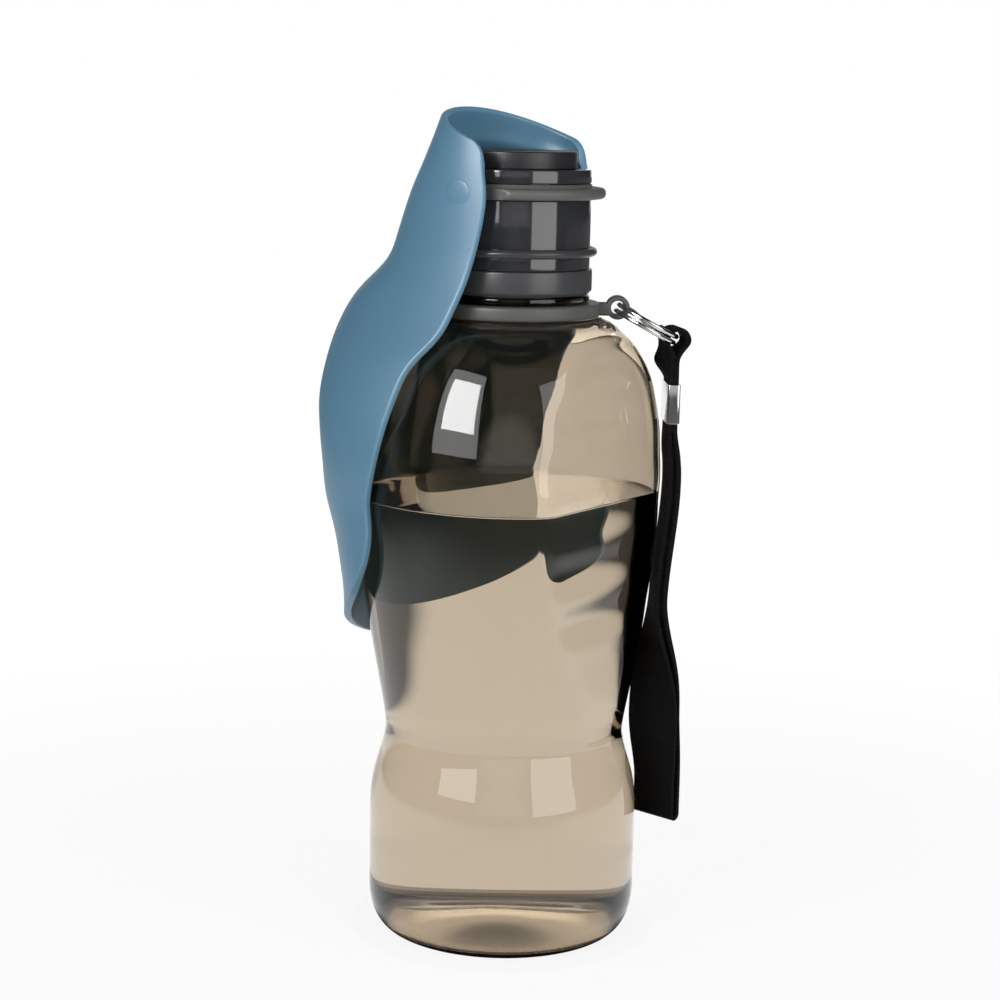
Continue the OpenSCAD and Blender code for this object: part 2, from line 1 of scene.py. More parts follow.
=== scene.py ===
"""Looks of a travel water bottle with a flip-out drinking trough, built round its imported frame.

The pieces' lengths are in millimetres until a mesh is made. The camera, lamps, floor finish and sky
are in metres. +Z is up, the folded trough hangs on the -Y side, the finger grip faces +Y, and the
trough turns about an axis along X.
"""
import math

import bmesh
import bpy
import numpy as np
from mathutils import Matrix, Vector


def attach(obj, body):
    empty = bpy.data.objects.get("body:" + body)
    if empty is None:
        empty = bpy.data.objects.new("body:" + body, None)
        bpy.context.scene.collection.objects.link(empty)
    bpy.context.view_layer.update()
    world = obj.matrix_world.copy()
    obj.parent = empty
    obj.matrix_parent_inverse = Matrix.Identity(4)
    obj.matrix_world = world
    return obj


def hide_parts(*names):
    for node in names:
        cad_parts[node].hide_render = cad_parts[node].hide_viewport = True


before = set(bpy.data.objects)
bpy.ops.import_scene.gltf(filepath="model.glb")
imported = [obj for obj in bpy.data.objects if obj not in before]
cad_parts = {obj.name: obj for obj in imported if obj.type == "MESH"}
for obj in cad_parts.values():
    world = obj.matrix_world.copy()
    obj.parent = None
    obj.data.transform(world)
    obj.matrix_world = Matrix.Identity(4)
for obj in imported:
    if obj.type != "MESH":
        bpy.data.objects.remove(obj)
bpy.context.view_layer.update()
MM = 0.001
scene = bpy.context.scene


# ---------------------------------------------------------------- nodes
class Value:
    """A socket in a node tree. Python's operators on it add Math nodes."""

    def __init__(self, nodes, socket):
        self.nodes = nodes
        self.socket = socket

    def math(self, operation, *values):
        return self.nodes.add("ShaderNodeMath", {"operation": operation}, dict(enumerate(values)))

    def __add__(self, other):
        return self.math("ADD", self, other)

    def __sub__(self, other):
        return self.math("SUBTRACT", self, other)

    def __rsub__(self, other):
        return self.math("SUBTRACT", other, self)

    def __mul__(self, other):
        return self.math("MULTIPLY", self, other)

    def __pow__(self, other):
        return self.math("POWER", self, other)

    def sine(self):
        return self.math("SINE", self)

    def size(self):
        return self.math("ABSOLUTE", self)

    def above(self, level):
        return self.math("GREATER_THAN", self, level)

    def either(self, other):
        return self.math("MAXIMUM", self, other)

    __radd__ = __add__
    __rmul__ = __mul__


class Nodes:
    """A node tree, and the one method that adds nodes to it."""

    def __init__(self, tree):
        self.tree = tree

    def add(self, kind, settings=None, sockets=None, out=0):
        node = self.tree.nodes.new(kind)
        for name, value in (settings or {}).items():
            setattr(node, name, value)
        for name, value in (sockets or {}).items():
            if isinstance(value, Value):
                self.tree.links.new(value.socket, node.inputs[name])
            else:
                node.inputs[name].default_value = value
        return Value(self, node.outputs[out]) if out is not None else node


class Finish(Nodes):
    """A material for one of the bottle's finishes."""

    def __init__(self, name):
        self.material = bpy.data.materials.new(name)
        self.material.use_nodes = True
        super().__init__(self.material.node_tree)
        self.tree.nodes.clear()

    def place(self):
        return self.add("ShaderNodeTexCoord", out="Object")

    def grain(self, scale, detail=2.0, stretch=(1, 1, 1)):
        spot = self.add("ShaderNodeMapping", None, {"Vector": self.place(), "Scale": stretch})
        return self.add("ShaderNodeTexNoise", None, {"Vector": spot, "Scale": scale, "Detail": detail}, "Fac")

    def blend(self, share, low, high):
        """A colour between two, by a share."""
        return self.add(
            "ShaderNodeMix", {"data_type": "RGBA"},
            {"Factor": share, "A": (*low, 1), "B": (*high, 1)} if isinstance(high, tuple)
            else {"Factor": share, "A": low, "B": high}, "Result",
        )

    def bump(self, height, depth, strength=1.0, below=None):
        sockets = {"Height": height, "Distance": depth * MM, "Strength": strength}
        if below is not None:
            sockets["Normal"] = below
        return self.add("ShaderNodeBump", None, sockets, "Normal")

    def shader(self, **sockets):
        names = {name.replace("_", " "): value for name, value in sockets.items()}
        return self.add("ShaderNodeBsdfPrincipled", None, names, "BSDF")

    def done(self, surface):
        self.add("ShaderNodeOutputMaterial", None, {"Surface": surface}, None)
        return self.material


def rgb(*shade):
    return (*shade, 1)


def mould_plastic(name, shade, variation, rough, grain_depth, gloss=0.0, peel=0.0):
    """Moulded plastic: faint flow in its colour, uneven polish, fine mould grain and a trace of orange peel."""
    f = Finish(name)
    flow = f.grain(38, 3, (1, 1, 0.35))
    fine = f.grain(900, 2)
    low = tuple(c * (1 - variation) for c in shade)
    high = tuple(min(1, c * (1 + variation)) for c in shade)
    height = f.bump(f.grain(5200, 1), grain_depth)
    if peel:
        height = f.bump(f.grain(160, 1), peel, 1.0, height)
    return f.done(f.shader(
        Base_Color=f.blend(flow, low, high),
        Roughness=rough * 0.86 + (flow * 0.16 + fine * 0.12) * rough,
        Normal=height, Coat_Weight=gloss, Coat_Roughness=0.03, IOR=1.5,
    ))


def smoke_plastic(name, ior, tint=(0.735, 0.668, 0.575), rough=0.012):
    """Clear tinted plastic. Lamps shine through it with its tint."""
    f = Finish(name)
    clear = f.shader(
        Base_Color=f.blend(f.grain(14, 1, (1, 1, 0.3)), tuple(c * 0.985 for c in tint), tint),
        Roughness=f.grain(60, 2) * rough, IOR=ior, Transmission_Weight=1.0,
        Normal=f.bump(f.grain(120, 1, (1, 1, 0.4)), 0.004),
    )
    through = f.add("ShaderNodeBsdfTransparent", None, {"Color": rgb(*(c ** 3 for c in tint))})
    shadow = f.add("ShaderNodeLightPath", out="Is Shadow Ray")
    return f.done(f.add("ShaderNodeMixShader", None, {0: shadow, 1: clear, 2: through}))


def water_surface(name):
    f = Finish(name)
    clear = f.shader(
        Base_Color=rgb(0.985, 0.99, 0.985), Roughness=0.0, IOR=1.333, Transmission_Weight=1.0,
        Normal=f.bump(f.grain(45, 1), 0.01),
    )
    through = f.add("ShaderNodeBsdfTransparent")
    shadow = f.add("ShaderNodeLightPath", out="Is Shadow Ray")
    return f.done(f.add("ShaderNodeMixShader", None, {0: shadow, 1: clear, 2: through}))


def water_side(name):
    """Where water meets the wall, the wall's own finish bends the light, so the water's side shows nothing."""
    f = Finish(name)
    return f.done(f.add("ShaderNodeBsdfTransparent"))


def trough_plastic(name):
    f = Finish(name)
    flow = f.grain(24, 3, (1, 1, 0.4))
    on_rim = f.add("ShaderNodeAttribute", {"attribute_name": "rim"}, None, "Fac")
    # Along the rim the colour turns a lighter blue, which is a painted highlight on the edge; the roughness drops a
    # little there for wear.
    painted_rim_light_and_wear = on_rim * (f.grain(420, 4) * 0.7 + 0.3)
    body = f.blend(flow, (0.108, 0.258, 0.388), (0.118, 0.278, 0.415))
    return f.done(f.shader(
        Base_Color=f.add("ShaderNodeMix", {"data_type": "RGBA"},
                         {"Factor": painted_rim_light_and_wear * 0.35, "A": body, "B": rgb(0.22, 0.4, 0.52)}, "Result"),
        Roughness=0.36 + flow * 0.05 + f.grain(700, 2) * 0.06 - painted_rim_light_and_wear * 0.06,
        Normal=f.bump(f.grain(4200, 1), 0.008, 0.7, f.bump(f.grain(70, 1), 0.02, 0.5)), IOR=1.5,
    ))


def steel(name):
    f = Finish(name)
    scratch = f.grain(2600, 3, (1, 1, 0.08))
    smear = f.grain(120, 3)
    return f.done(f.shader(
        Base_Color=f.blend(smear, (0.72, 0.72, 0.71), (0.82, 0.82, 0.81)), Metallic=1.0,
        Roughness=0.09 + scratch * 0.08 + smear * 0.05, Normal=f.bump(scratch, 0.002, 0.4),
    ))


def webbing_cloth(name):
    """Black webbing: warp yarns along it, weft across it, over one and under one."""
    f = Finish(name)
    along = f.add("ShaderNodeSeparateXYZ", None, {"Vector": f.add("ShaderNodeUVMap", {"uv_map": "weave"})}, 0)
    across = Value(f, along.socket.node.outputs[1])
    warp = (across * (math.pi / 0.55)).sine()
    weft = (along * (math.pi / 0.85)).sine()
    weave = (warp * weft).size() ** 0.6
    turn = (warp * weft).above(0.0)
    fibre = f.grain(9000, 2)
    height = weave * (0.55 + turn * 0.45)
    # The colour is darker in the weave's hollows than on the yarn crowns: painted shade, with the fibre's own random
    # tone on top.
    return f.done(f.shader(
        Base_Color=f.blend(height * (0.6 + fibre * 0.4), (0.0015, 0.0015, 0.0016), (0.009, 0.0092, 0.0095)),
        Roughness=0.78 + fibre * 0.2, Normal=f.bump(fibre, 0.02, 0.6, f.bump(height, 0.12)), IOR=1.22,
    ))


def soft_rubber(name, shade, rough):
    f = Finish(name)
    cloud = f.grain(90, 3)
    return f.done(f.shader(
        Base_Color=f.blend(cloud, tuple(c * 0.93 for c in shade), tuple(c * 1.07 for c in shade)),
        Roughness=rough - 0.05 + cloud * 0.1, Normal=f.bump(f.grain(3000, 2), 0.006, 0.6), IOR=1.43,
    ))


def milky_silicone(name):
    f = Finish(name)
    cloud = f.grain(110, 2)
    return f.done(f.shader(
        Base_Color=f.blend(cloud, (0.62, 0.62, 0.58), (0.7, 0.7, 0.66)), Roughness=0.3 + cloud * 0.1,
        Subsurface_Weight=0.4, Subsurface_Radius=(0.003, 0.003, 0.0028), Subsurface_Scale=1.0,
        Normal=f.bump(f.grain(2000, 1), 0.004), IOR=1.41,
    ))


SMOKE = smoke_plastic("smoke_plastic", 1.5)
SMOKE_WET = smoke_plastic("smoke_plastic_wet", 1.5 / 1.333)
# A far darker tint for the foot and the neck: partly the thicker plastic, partly painted shade
THICK_AND_SHADE_TINT = (0.16, 0.125, 0.095)
SMOKE_THICK_SHADED = smoke_plastic("smoke_plastic_thick_shaded", 1.5, THICK_AND_SHADE_TINT, 0.1)
SMOKE_THICK_SHADED_WET = smoke_plastic("smoke_plastic_thick_shaded_wet", 1.5 / 1.333, THICK_AND_SHADE_TINT, 0.1)
WATER = water_surface("water")
WATER_SIDE = water_side("water_side")
TROUGH = trough_plastic("trough_blue")
CAP_GLOSS = mould_plastic("cap_gloss", (0.033, 0.034, 0.038), 0.05, 0.1, 0.0006, 0.6, 0.002)
CAP_SATIN = mould_plastic("cap_satin", (0.06, 0.061, 0.064), 0.05, 0.3, 0.004)
SPOUT = mould_plastic("spout_black", (0.023, 0.023, 0.026), 0.1, 0.38, 0.014)
RING = mould_plastic("ring_grey", (0.112, 0.113, 0.106), 0.06, 0.5, 0.01)
GUIDE = mould_plastic("guide_natural", (0.6, 0.6, 0.57), 0.03, 0.4, 0.006)
STRAP_RING = soft_rubber("strap_ring_grey", (0.105, 0.106, 0.102), 0.46)
BEAD = soft_rubber("seal_rubber", (0.052, 0.053, 0.055), 0.3)
SILICONE = milky_silicone("clear_seal")
STEEL = steel("split_ring_steel")
WEBBING = webbing_cloth("webbing_black")


# ---------------------------------------------------------------- shapes
def smooth(a, b, x):
    t = np.clip((x - a) / (b - a), 0, 1)
    return t * t * (3 - 2 * t)


def bezier(a, b, c, d, count):
    t = np.linspace(0, 1, count, endpoint=False)[:, None]
    s = 1 - t
    a, b, c, d = (np.array(p, float) for p in (a, b, c, d))
    return s**3 * a + 3 * s * s * t * b + 3 * s * t * t * c + t**3 * d


def line(a, b, count):
    return [np.array(a) + (np.array(b) - np.array(a)) * k / count for k in range(count)]


def rounded(corners, steps=4):
    """A closed outline with each corner (x, y, radius) turned into an arc."""
    made = []
    for k, (x, y, radius) in enumerate(corners):
        here = np.array([x, y], float)
        back = np.array(corners[k - 1][:2], float) - here
        ahead = np.array(corners[(k + 1) % len(corners)][:2], float) - here
        back, ahead = back / np.linalg.norm(back), ahead / np.linalg.norm(ahead)
        if radius <= 0:
            made.append(here)
            continue
        half = math.acos(np.clip(back @ ahead, -1, 1)) / 2
        reach = radius / math.tan(half)
        start, end = here + back * reach, here + ahead * reach
        for step in range(steps + 1):
            t = step / steps
            made.append((1 - t) ** 2 * start + 2 * t * (1 - t) * here + t * t * end)
    return made


def new_object(name, points, faces, turned_out=True):
    """An object at the origin, from points in millimetres. Its faces are turned outwards."""
    mesh = bpy.data.meshes.new(name)
    spots = [tuple(p) for p in np.asarray(points, float) * MM]
    mesh.from_pydata(spots, [], [tuple(int(v) for v in f) for f in faces])
    shape = bmesh.new()
    shape.from_mesh(mesh)
    bmesh.ops.remove_doubles(shape, verts=shape.verts, dist=2e-7)
    bmesh.ops.dissolve_degenerate(shape, edges=shape.edges, dist=1e-8)
    if turned_out:
        bmesh.ops.recalc_face_normals(shape, faces=shape.faces)
        if shape.calc_volume(signed=True) < 0:
            bmesh.ops.reverse_faces(shape, faces=shape.faces)
    shape.to_mesh(mesh)
    shape.free()
    made = bpy.data.objects.new(name, mesh)
    scene.collection.objects.link(made)
    return made


def shade(made, finish, sharp=38):
    made.data.materials.clear()
    for one in finish if isinstance(finish, (list, tuple)) else [finish]:
        made.data.materials.append(one)
    made.data.polygons.foreach_set("use_smooth", [True] * len(made.data.polygons))
    made.data.set_sharp_from_angle(angle=math.radians(sharp))
    return made


def settle(made):
    """Turns an object's modifiers into plain mesh and takes them off."""
    bpy.context.view_layer.update()
    graph = bpy.context.evaluated_depsgraph_get()
    result = bpy.data.meshes.new_from_object(
        made.evaluated_get(graph), preserve_all_data_layers=True, depsgraph=graph,
    )
    made.modifiers.clear()
    old = made.data
    if made.type == "MESH":
        made.data = result
        bpy.data.meshes.remove(old)
        return made
    name = made.name
    bpy.data.objects.remove(made)
    solid = bpy.data.objects.new(name, result)
    scene.collection.objects.link(solid)
    return solid


def fit(made, body, slot, *nodes):
    """Puts a finished piece on its body and hides the solids it stands for. Its slot is not used."""
    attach(made, body)
    if nodes:
        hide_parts(*nodes)
    return made


def grid_faces(rows, columns, around=True, start=0):
    """Faces of a grid of points, closed round when it goes all the way."""
    faces = []
    for i in range(rows - 1):
        for j in range(columns if around else columns - 1):
            n = (j + 1) % columns
            a, b = start + i * columns, start + (i + 1) * columns
            faces.append((a + j, a + n, b + n, b + j))
    return faces


def turned(name, outline, finish, steps=144, flat_x=None, sharp=38):
    """A solid of revolution from a closed outline of (radius, height, corner radius), cut flat at +-flat_x."""
    path = rounded(outline)
    angles = np.linspace(0, 2 * math.pi, steps, endpoint=False)
    points = []
    for r, z in [*path, path[0]]:
        x = r * np.cos(angles)
        if flat_x:
            x = np.clip(x, -flat_x, flat_x)
        points.append(np.stack([x, r * np.sin(angles), np.full(steps, z)], 1))
    made = new_object(name, np.concatenate(points), grid_faces(len(points), steps))
    return shade(made, finish, sharp)


def plate(name, outlines, height, edge, matrix, finish):
    """A flat outline with holes, made thick, with rounded edges."""
    curve = bpy.data.curves.new(name, "CURVE")
    curve.dimensions = "2D"
    curve.fill_mode = "BOTH"
    curve.extrude = (height / 2 - edge) * MM
    curve.bevel_depth = edge * MM
    curve.bevel_resolution = 3
    curve.offset = -edge * MM
    for outline in outlines:
        spline = curve.splines.new("POLY")
        spline.points.add(len(outline) - 1)
        for point, (x, y) in zip(spline.points, outline):
            point.co = (x * MM, y * MM, 0, 1)
        spline.use_cyclic_u = True
    flat = bpy.data.objects.new(name, curve)
    scene.collection.objects.link(flat)
    made = settle(flat)
    shape = bmesh.new()
    shape.from_mesh(made.data)
    bmesh.ops.remove_doubles(shape, verts=shape.verts, dist=1e-7)
    bmesh.ops.recalc_face_normals(shape, faces=shape.faces)
    bmesh.ops.transform(shape, matrix=matrix, verts=shape.verts)
    shape.to_mesh(made.data)
    shape.free()
    return shade(made, finish)


def join(name, parts):
    """One object from several, with the first one's finishes."""
    shape = bmesh.new()
    for part in parts:
        shape.from_mesh(part.data)
    materials = list(parts[0].data.materials)
    for part in parts:
        bpy.data.objects.remove(part)
    mesh = bpy.data.meshes.new(name)
    shape.to_mesh(mesh)
    shape.free()
    made = bpy.data.objects.new(name, mesh)
    scene.collection.objects.link(made)
    return shade(made, materials)


def circle(x, y, r, steps=48):
    angles = [2 * math.pi * k / steps for k in range(steps)]
    return [(x + r * math.cos(a), y + r * math.sin(a)) for a in angles]


# ---------------------------------------------------------------- camera
VIEW = math.radians(124)
AWAY = 0.700
EYE = 0.2486
PITCH = math.radians(9.65)
ROLL = math.radians(1.2)
SIDEWAYS = -0.0026
LENS, SENSOR = 86.4, 36
right = Vector((math.cos(VIEW), math.sin(VIEW), 0))
back = Vector((math.sin(VIEW), -math.cos(VIEW), 0))
look = -back * math.cos(PITCH) - Vector((0, 0, math.sin(PITCH)))
camera = bpy.data.objects.new("camera", bpy.data.cameras.new("camera"))
camera.data.lens = LENS
camera.data.sensor_width = SENSOR
camera.data.clip_start, camera.data.clip_end = 0.01, 50
turn = look.to_track_quat("-Z", "Y").to_matrix().to_4x4() @ Matrix.Rotation(ROLL, 4, "Z")
camera.matrix_world = Matrix.Translation(back * AWAY + right * SIDEWAYS + Vector((0, 0, EYE))) @ turn
scene.collection.objects.link(camera)
scene.camera = camera

# ---------------------------------------------------------------- bottle
BASE_R, WAIST_R, BELLY_R, SHOULDER_R = 39.9, 35.5, 45.8, 25.0
BASE_H, WAIST_Z, BELLY_Z, SHOULDER_Z = 36.0, 61.0, 137.0, 184.6
HEEL_R, HEEL_H, FOOT_W, PUSH_UP, WALL, FLOOR = 7.0, 13.0, 3.0, 4.3, 1.9, 2.5
FOOT_R = BASE_R - HEEL_R
GRIP_Y, GRIP_LOW, GRIP_FLAT, GRIP_TOP, GRIP_ROUND = 34.5, 62.0, 92.0, 182.0, 2.6
GROOVE_PITCH, GROOVE_DEPTH, LEDGE_H, LEDGE_W = 15.0, 0.6, 0.2, 4.0
NECK_R, NECK_WALL, LIP_Z = 17.8, 2.2, 206.0
FLANGE_R, FLANGE_Z, FLANGE_T = 22.2, 189.2, 1.7
WATER_Z, WATER_R, WATER_GAP = 132.2, 45, 0.03
MENISCUS_H, MENISCUS_W = 0.9, 1.3
THICK_FOOT_Z, THICK_FOOT_R = 3.2, 27
THREAD_PITCH = 3
ROUND = 216  # points round the bottle
BEYOND = 900.0  # a distance past everything


def body_path(inset, floor):
    """The bottle's section from the middle of its base to its shoulder."""
    dome = [
        ((FOOT_R - FOOT_W) * t, floor + PUSH_UP * (1 + math.cos(math.pi * t)) / 2)
        for t in np.linspace(0, 1, 22)
    ]
    heel = [
        (FOOT_R + (HEEL_R - inset) * math.sin(a), floor + (HEEL_H - floor) * (1 - math.cos(a)))
        for a in np.linspace(0, math.pi / 2, 18)
    ]
    base_r, waist_r, belly_r = BASE_R - inset, WAIST_R - inset, BELLY_R - inset
    base, waist, belly = (base_r, BASE_H), (waist_r, WAIST_Z), (belly_r, BELLY_Z)
    shoulder = (SHOULDER_R, SHOULDER_Z - inset)
    return np.array([
        *dome, *heel, *line((base_r, HEEL_H), base, 10)[1:],
        *bezier(base, (base_r, BASE_H + 14), (WAIST_R + 1 - inset, BASE_H + 16), waist, 30),
        *bezier(waist, (waist_r, 70.1), (belly_r, 108.1), belly, 62),
        *bezier(belly, (belly_r, 165.1),
                (SHOULDER_R + 11 - 0.6 * inset, SHOULDER_Z - 2.1 - 0.9 * inset), shoulder, 48),
        shoulder,
    ])


def grip_distance(z):
    """How far the finger grip's surface is from the bottle's axis, by height. It runs out below the waist."""
    surface = np.interp(z, [GRIP_LOW, GRIP_FLAT], [WAIST_R + 0.3, GRIP_Y])
    surface = surface + LEDGE_H * np.exp(-((z - GRIP_FLAT) / LEDGE_W) ** 2)
    wave = 0.5 * (1 - np.cos(2 * math.pi * (z - GRIP_FLAT) / GROOVE_PITCH))
    ends = smooth(GRIP_FLAT - 1.5, GRIP_FLAT + 1.5, z), 1 - smooth(GRIP_TOP - 1, GRIP_TOP + 1, z)
    groove = GROOVE_DEPTH * wave * ends[0] * ends[1]
    run_out = 14 * smooth(GRIP_LOW + 1, GRIP_LOW - 6, z)
    return np.where(z < GRIP_LOW - 6, 2 * BELLY_R, surface - groove + run_out)


def body_ring(r, z, inset, steps=ROUND):
    """Points round the bottle at one height, flattened where the finger grip is."""
    angles = np.linspace(0, 2 * math.pi, steps, endpoint=False)
    ray = np.sin(angles)
    radius = np.full(steps, float(r))
    if z > GRIP_LOW - 8:
        grip = grip_distance(np.array(z)) - inset
        flat = np.where(ray > 0.05, grip / np.maximum(ray, 0.05), BEYOND)
        share = np.clip(0.5 + 0.5 * (flat - radius) / GRIP_ROUND, 0, 1)
        radius = flat + (radius - flat) * share - GRIP_ROUND * share * (1 - share)
    if inset:  # a blown wall is a little uneven inside
        radius = radius + 0.09 * np.sin(5 * angles + 0.05 * z) + 0.07 * np.sin(0.21 * z + 2 * angles)
    return np.stack([radius * np.cos(angles), radius * np.sin(angles), np.full(steps, float(z))], 1)


def smoke_bottle():
    """The bottle, with its wall wetted by the water marked, and its inner path from the water down."""
    outer = [body_ring(r, z, 0) for r, z in body_path(0, 0)]
    flange_top, bore = FLANGE_Z + FLANGE_T, NECK_R - NECK_WALL
    neck = rounded([
        (NECK_R, SHOULDER_Z, 0.7), (NECK_R, FLANGE_Z, 0.3), (FLANGE_R, FLANGE_Z, 0.5), (FLANGE_R, flange_top, 0.5),
        (NECK_R, flange_top, 0.3), (NECK_R, LIP_Z, 0.6), (bore, LIP_Z, 0.6), (bore, SHOULDER_Z - WALL, 1.6),
        (SHOULDER_R, SHOULDER_Z - WALL, 0), (SHOULDER_R, SHOULDER_Z, 0),
    ])[:-2]
    inner = body_path(WALL, FLOOR)[::-1]
    cut = int(np.argmax((inner[:, 1] < WATER_Z) & (inner[:, 0] > 20)))
    above, below = inner[cut - 1], inner[cut]
    waterline = above + (below - above) * (WATER_Z - above[1]) / (below[1] - above[1])
    inner = np.insert(inner, cut, waterline, axis=0)
    rings = outer + [body_ring(r, z, 0) for r, z in neck] + [body_ring(r, z, WALL) for r, z in inner]
    made = new_object("bottle_smoke", np.concatenate(rings), grid_faces(len(rings), ROUND))
    shade(made, [SMOKE, SMOKE_WET, SMOKE_THICK_SHADED, SMOKE_THICK_SHADED_WET], 40)
    centres = np.array([p.center for p in made.data.polygons]) / MM
    normals = np.array([p.normal for p in made.data.polygons])
    height, up = centres[:, 2], normals[:, 2]
    ring_r = np.hypot(centres[:, 0], centres[:, 1])
    inner_side = (ring_r > 1) & ((normals[:, :2] * centres[:, :2]).sum(1) < 0)
    inner_floor = (height > 2.3) & (height < 30) & (up > 0.3) & (ring_r < BASE_R - WALL + 0.2)
    dome = (height < PUSH_UP + 0.2) & (up < 0)
    wet = (inner_side | inner_floor) & (height < WATER_Z) & ~dome
    # the plastic is thick in the foot and the neck; the far darker tint there is partly that and partly painted shade
    # for the dark that the foot and the neck show
    thick_and_shaded = ((height < THICK_FOOT_Z) & (ring_r > THICK_FOOT_R)) | (height > SHOULDER_Z)
    made.data.polygons.foreach_set("material_index", wet.astype(np.int32) + 2 * thick_and_shaded)
    made.data.update()
    return made, inner[cut:]


def water(inner):
    """The water, a hair inside the wall, with a surface that climbs a little at the wall."""
    low = 12
    rings = [
        body_ring(max(r - WATER_GAP, 0), z + WATER_GAP * (z < low), WALL + WATER_GAP)
        for r, z in inner
    ]
    top = []
    for share in [1.0, 0.995, 0.985, 0.965, 0.93, 0.85, 0.7, 0.5, 0.3, 0.15, 0.0]:
        ring = rings[0].copy()
        ring[:, :2] *= share
        ring[:, 2] = WATER_Z - 0.02 - MENISCUS_H * (1 - math.exp(-(1 - share) * WATER_R / MENISCUS_W))
        top.append(ring)
    rings = top[::-1] + rings
    made = new_object("water", np.concatenate(rings), grid_faces(len(rings), ROUND))
    shade(made, [WATER, WATER_SIDE], 60)
    side = np.array([p.normal.z < 0.5 or p.center.z < (WATER_Z - 3) * MM for p in made.data.polygons])
    made.data.polygons.foreach_set("material_index", side.astype(np.int32))
    made.data.update()
    return made


def swept_tree(name):
    """Geometry nodes that lay a round bar along a helix: Radius, Pitch, Turns, Start and Bar."""
    tree = bpy.data.node_groups.new(name, "GeometryNodeTree")
    sockets = {}
    for label, kind in [("Radius", "Float"), ("Pitch", "Float"), ("Turns", "Float"), ("Start", "Float"),
                        ("Bar", "Float"), ("Finish", "Material")]:
        socket = tree.interface.new_socket(label, in_out="INPUT", socket_type="NodeSocket" + kind)
        sockets[label] = socket.identifier
    tree.interface.new_socket("Geometry", in_out="OUTPUT", socket_type="NodeSocketGeometry")
    n = Nodes(tree)
    given = n.add("NodeGroupInput", out=None)
    value = {label: Value(n, given.outputs[label]) for label in sockets}
    spiral = n.add("GeometryNodeCurveSpiral", None, {
        "Resolution": 72, "Rotations": value["Turns"], "Height": value["Turns"] * value["Pitch"],
        "Start Radius": value["Radius"], "End Radius": value["Radius"]})
    factor = n.add("GeometryNodeSplineParameter", out="Factor")
    taper = (1 - (factor * 2 - 1).size() ** 14)
    spiral = n.add("GeometryNodeSetCurveRadius", None, {"Curve": spiral, "Radius": taper})
    bar = n.add("GeometryNodeCurvePrimitiveCircle", None, {"Resolution": 14, "Radius": value["Bar"]})
    solid = n.add("GeometryNodeCurveToMesh", None, {"Curve": spiral, "Profile Curve": bar, "Fill Caps": True})
    lift = n.add("ShaderNodeCombineXYZ", None, {"Z": value["Start"]})
    solid = n.add("GeometryNodeTransform", None, {"Geometry": solid, "Translation": lift})
    solid = n.add("GeometryNodeSetShadeSmooth", None, {"Geometry": solid})
    solid = n.add("GeometryNodeRealizeInstances", None, {"Geometry": solid})
    solid = n.add("GeometryNodeSetMaterial", None, {"Geometry": solid, "Material": value["Finish"]})
    n.add("NodeGroupOutput", None, {"Geometry": solid}, None)
    return tree, sockets


def helix(name, finish, **sizes):
    """A screw thread made by the helix nodes, as a plain mesh."""
    tree, sockets = HELIX
    made = bpy.data.objects.new(name, bpy.data.meshes.new(name))
    scene.collection.objects.link(made)
    nodes = made.modifiers.new("helix", "NODES")
    nodes.node_group = tree
    for label, size in sizes.items():
        nodes[sockets[label]] = size
    nodes[sockets["Finish"]] = finish
    return shade(settle(made), finish)


HELIX = swept_tree("screw_thread")
bottle, inner_path = smoke_bottle()
fit(bottle, "bottle", "bottle_plastic", "bottle")
fit(water(inner_path), "bottle", "bottle_plastic")
neck_thread = helix(
    "neck_thread", SMOKE, Radius=NECK_R * MM, Pitch=THREAD_PITCH * MM, Turns=2.6, Start=194.2 * MM, Bar=0.85 * MM,
)
fit(neck_thread, "bottle", "bottle_plastic")

# ---------------------------------------------------------------- cap
CAP_R, DRUM_BORE, SLEEVE_R, SLEEVE_WALL = 22.0, 20.4, 18.9, 1.45
SKIRT_Z, SKIRT_TOP, DRUM_Z, SLEEVE_TOP = 191.3, 198.5, 198.6, 208.0
SEAT_Z, DECK_Z, DECK_T, SPIGOT_TOP = 218.6, 223.0, 2.5, 225.2
CHAMBER_R, CHAMBER_Z, GUIDE_R = 18.0, 209.7, 9.45
SKIRT_R, SEAT_R, SPIGOT_R, RING_R, PIVOT_Z = 22.8, 20.0, 18.0, 26.2, 220.3
COLLAR_Z, COLLAR_STEP, COLLAR_TOP, COLLAR_BORE = 223.2, 225.3, 227.1, 10.0
KNOB_Z, KNOB_TOP, KNOB_R, TUBE_Z, TUBE_R, TUBE_BORE, OUTLET_R = 227.2, 232.1, 17.7, 214.0, 7.9, 5.5, 3.0
BEAD_RING, BEAD_D, BEAD_Z = 22.85, 2.5, 203.45
ORING_SEAT, ORING_RING, ORING_BAR, ORING_Z = 6.6, 7.28, 0.65, 217.0
GASKET_IN, GASKET_OUT, GASKET_Z, GASKET_TOP = 15.6, 18.15, 206.1, 208.0


def round_seal(name, ring_r, bar_r, z, sides, steps):
    """A rubber ring with a round section."""
    outline = [(ring_r + bar_r * x, z + bar_r * y, 0) for x, y in circle(0, 0, 1, sides)]
    return turned(name, outline, BEAD, steps, sharp=60)


collar = turned("screw_collar_satin", [
    (SLEEVE_R, SKIRT_Z, 0.3), (SKIRT_R - 0.9, SKIRT_Z, 0.3), (SKIRT_R, SKIRT_Z + 1.0, 0.8), (SKIRT_R, SKIRT_TOP, 0.5),
    (SLEEVE_R + SLEEVE_WALL, SKIRT_TOP, 0.1), (SLEEVE_R + SLEEVE_WALL, SLEEVE_TOP, 0.2), (SLEEVE_R, SLEEVE_TOP, 0.2),
], CAP_SATIN)
fit(collar, "cap", "cap_satin", "screw_collar")
sleeve_thread = helix(
    "sleeve_thread", CAP_SATIN, Radius=(SLEEVE_R + 0.1) * MM, Pitch=THREAD_PITCH * MM, Turns=2.4, Start=195.7 * MM,
    Bar=0.75 * MM,
)
fit(sleeve_thread, "cap", "cap_satin")

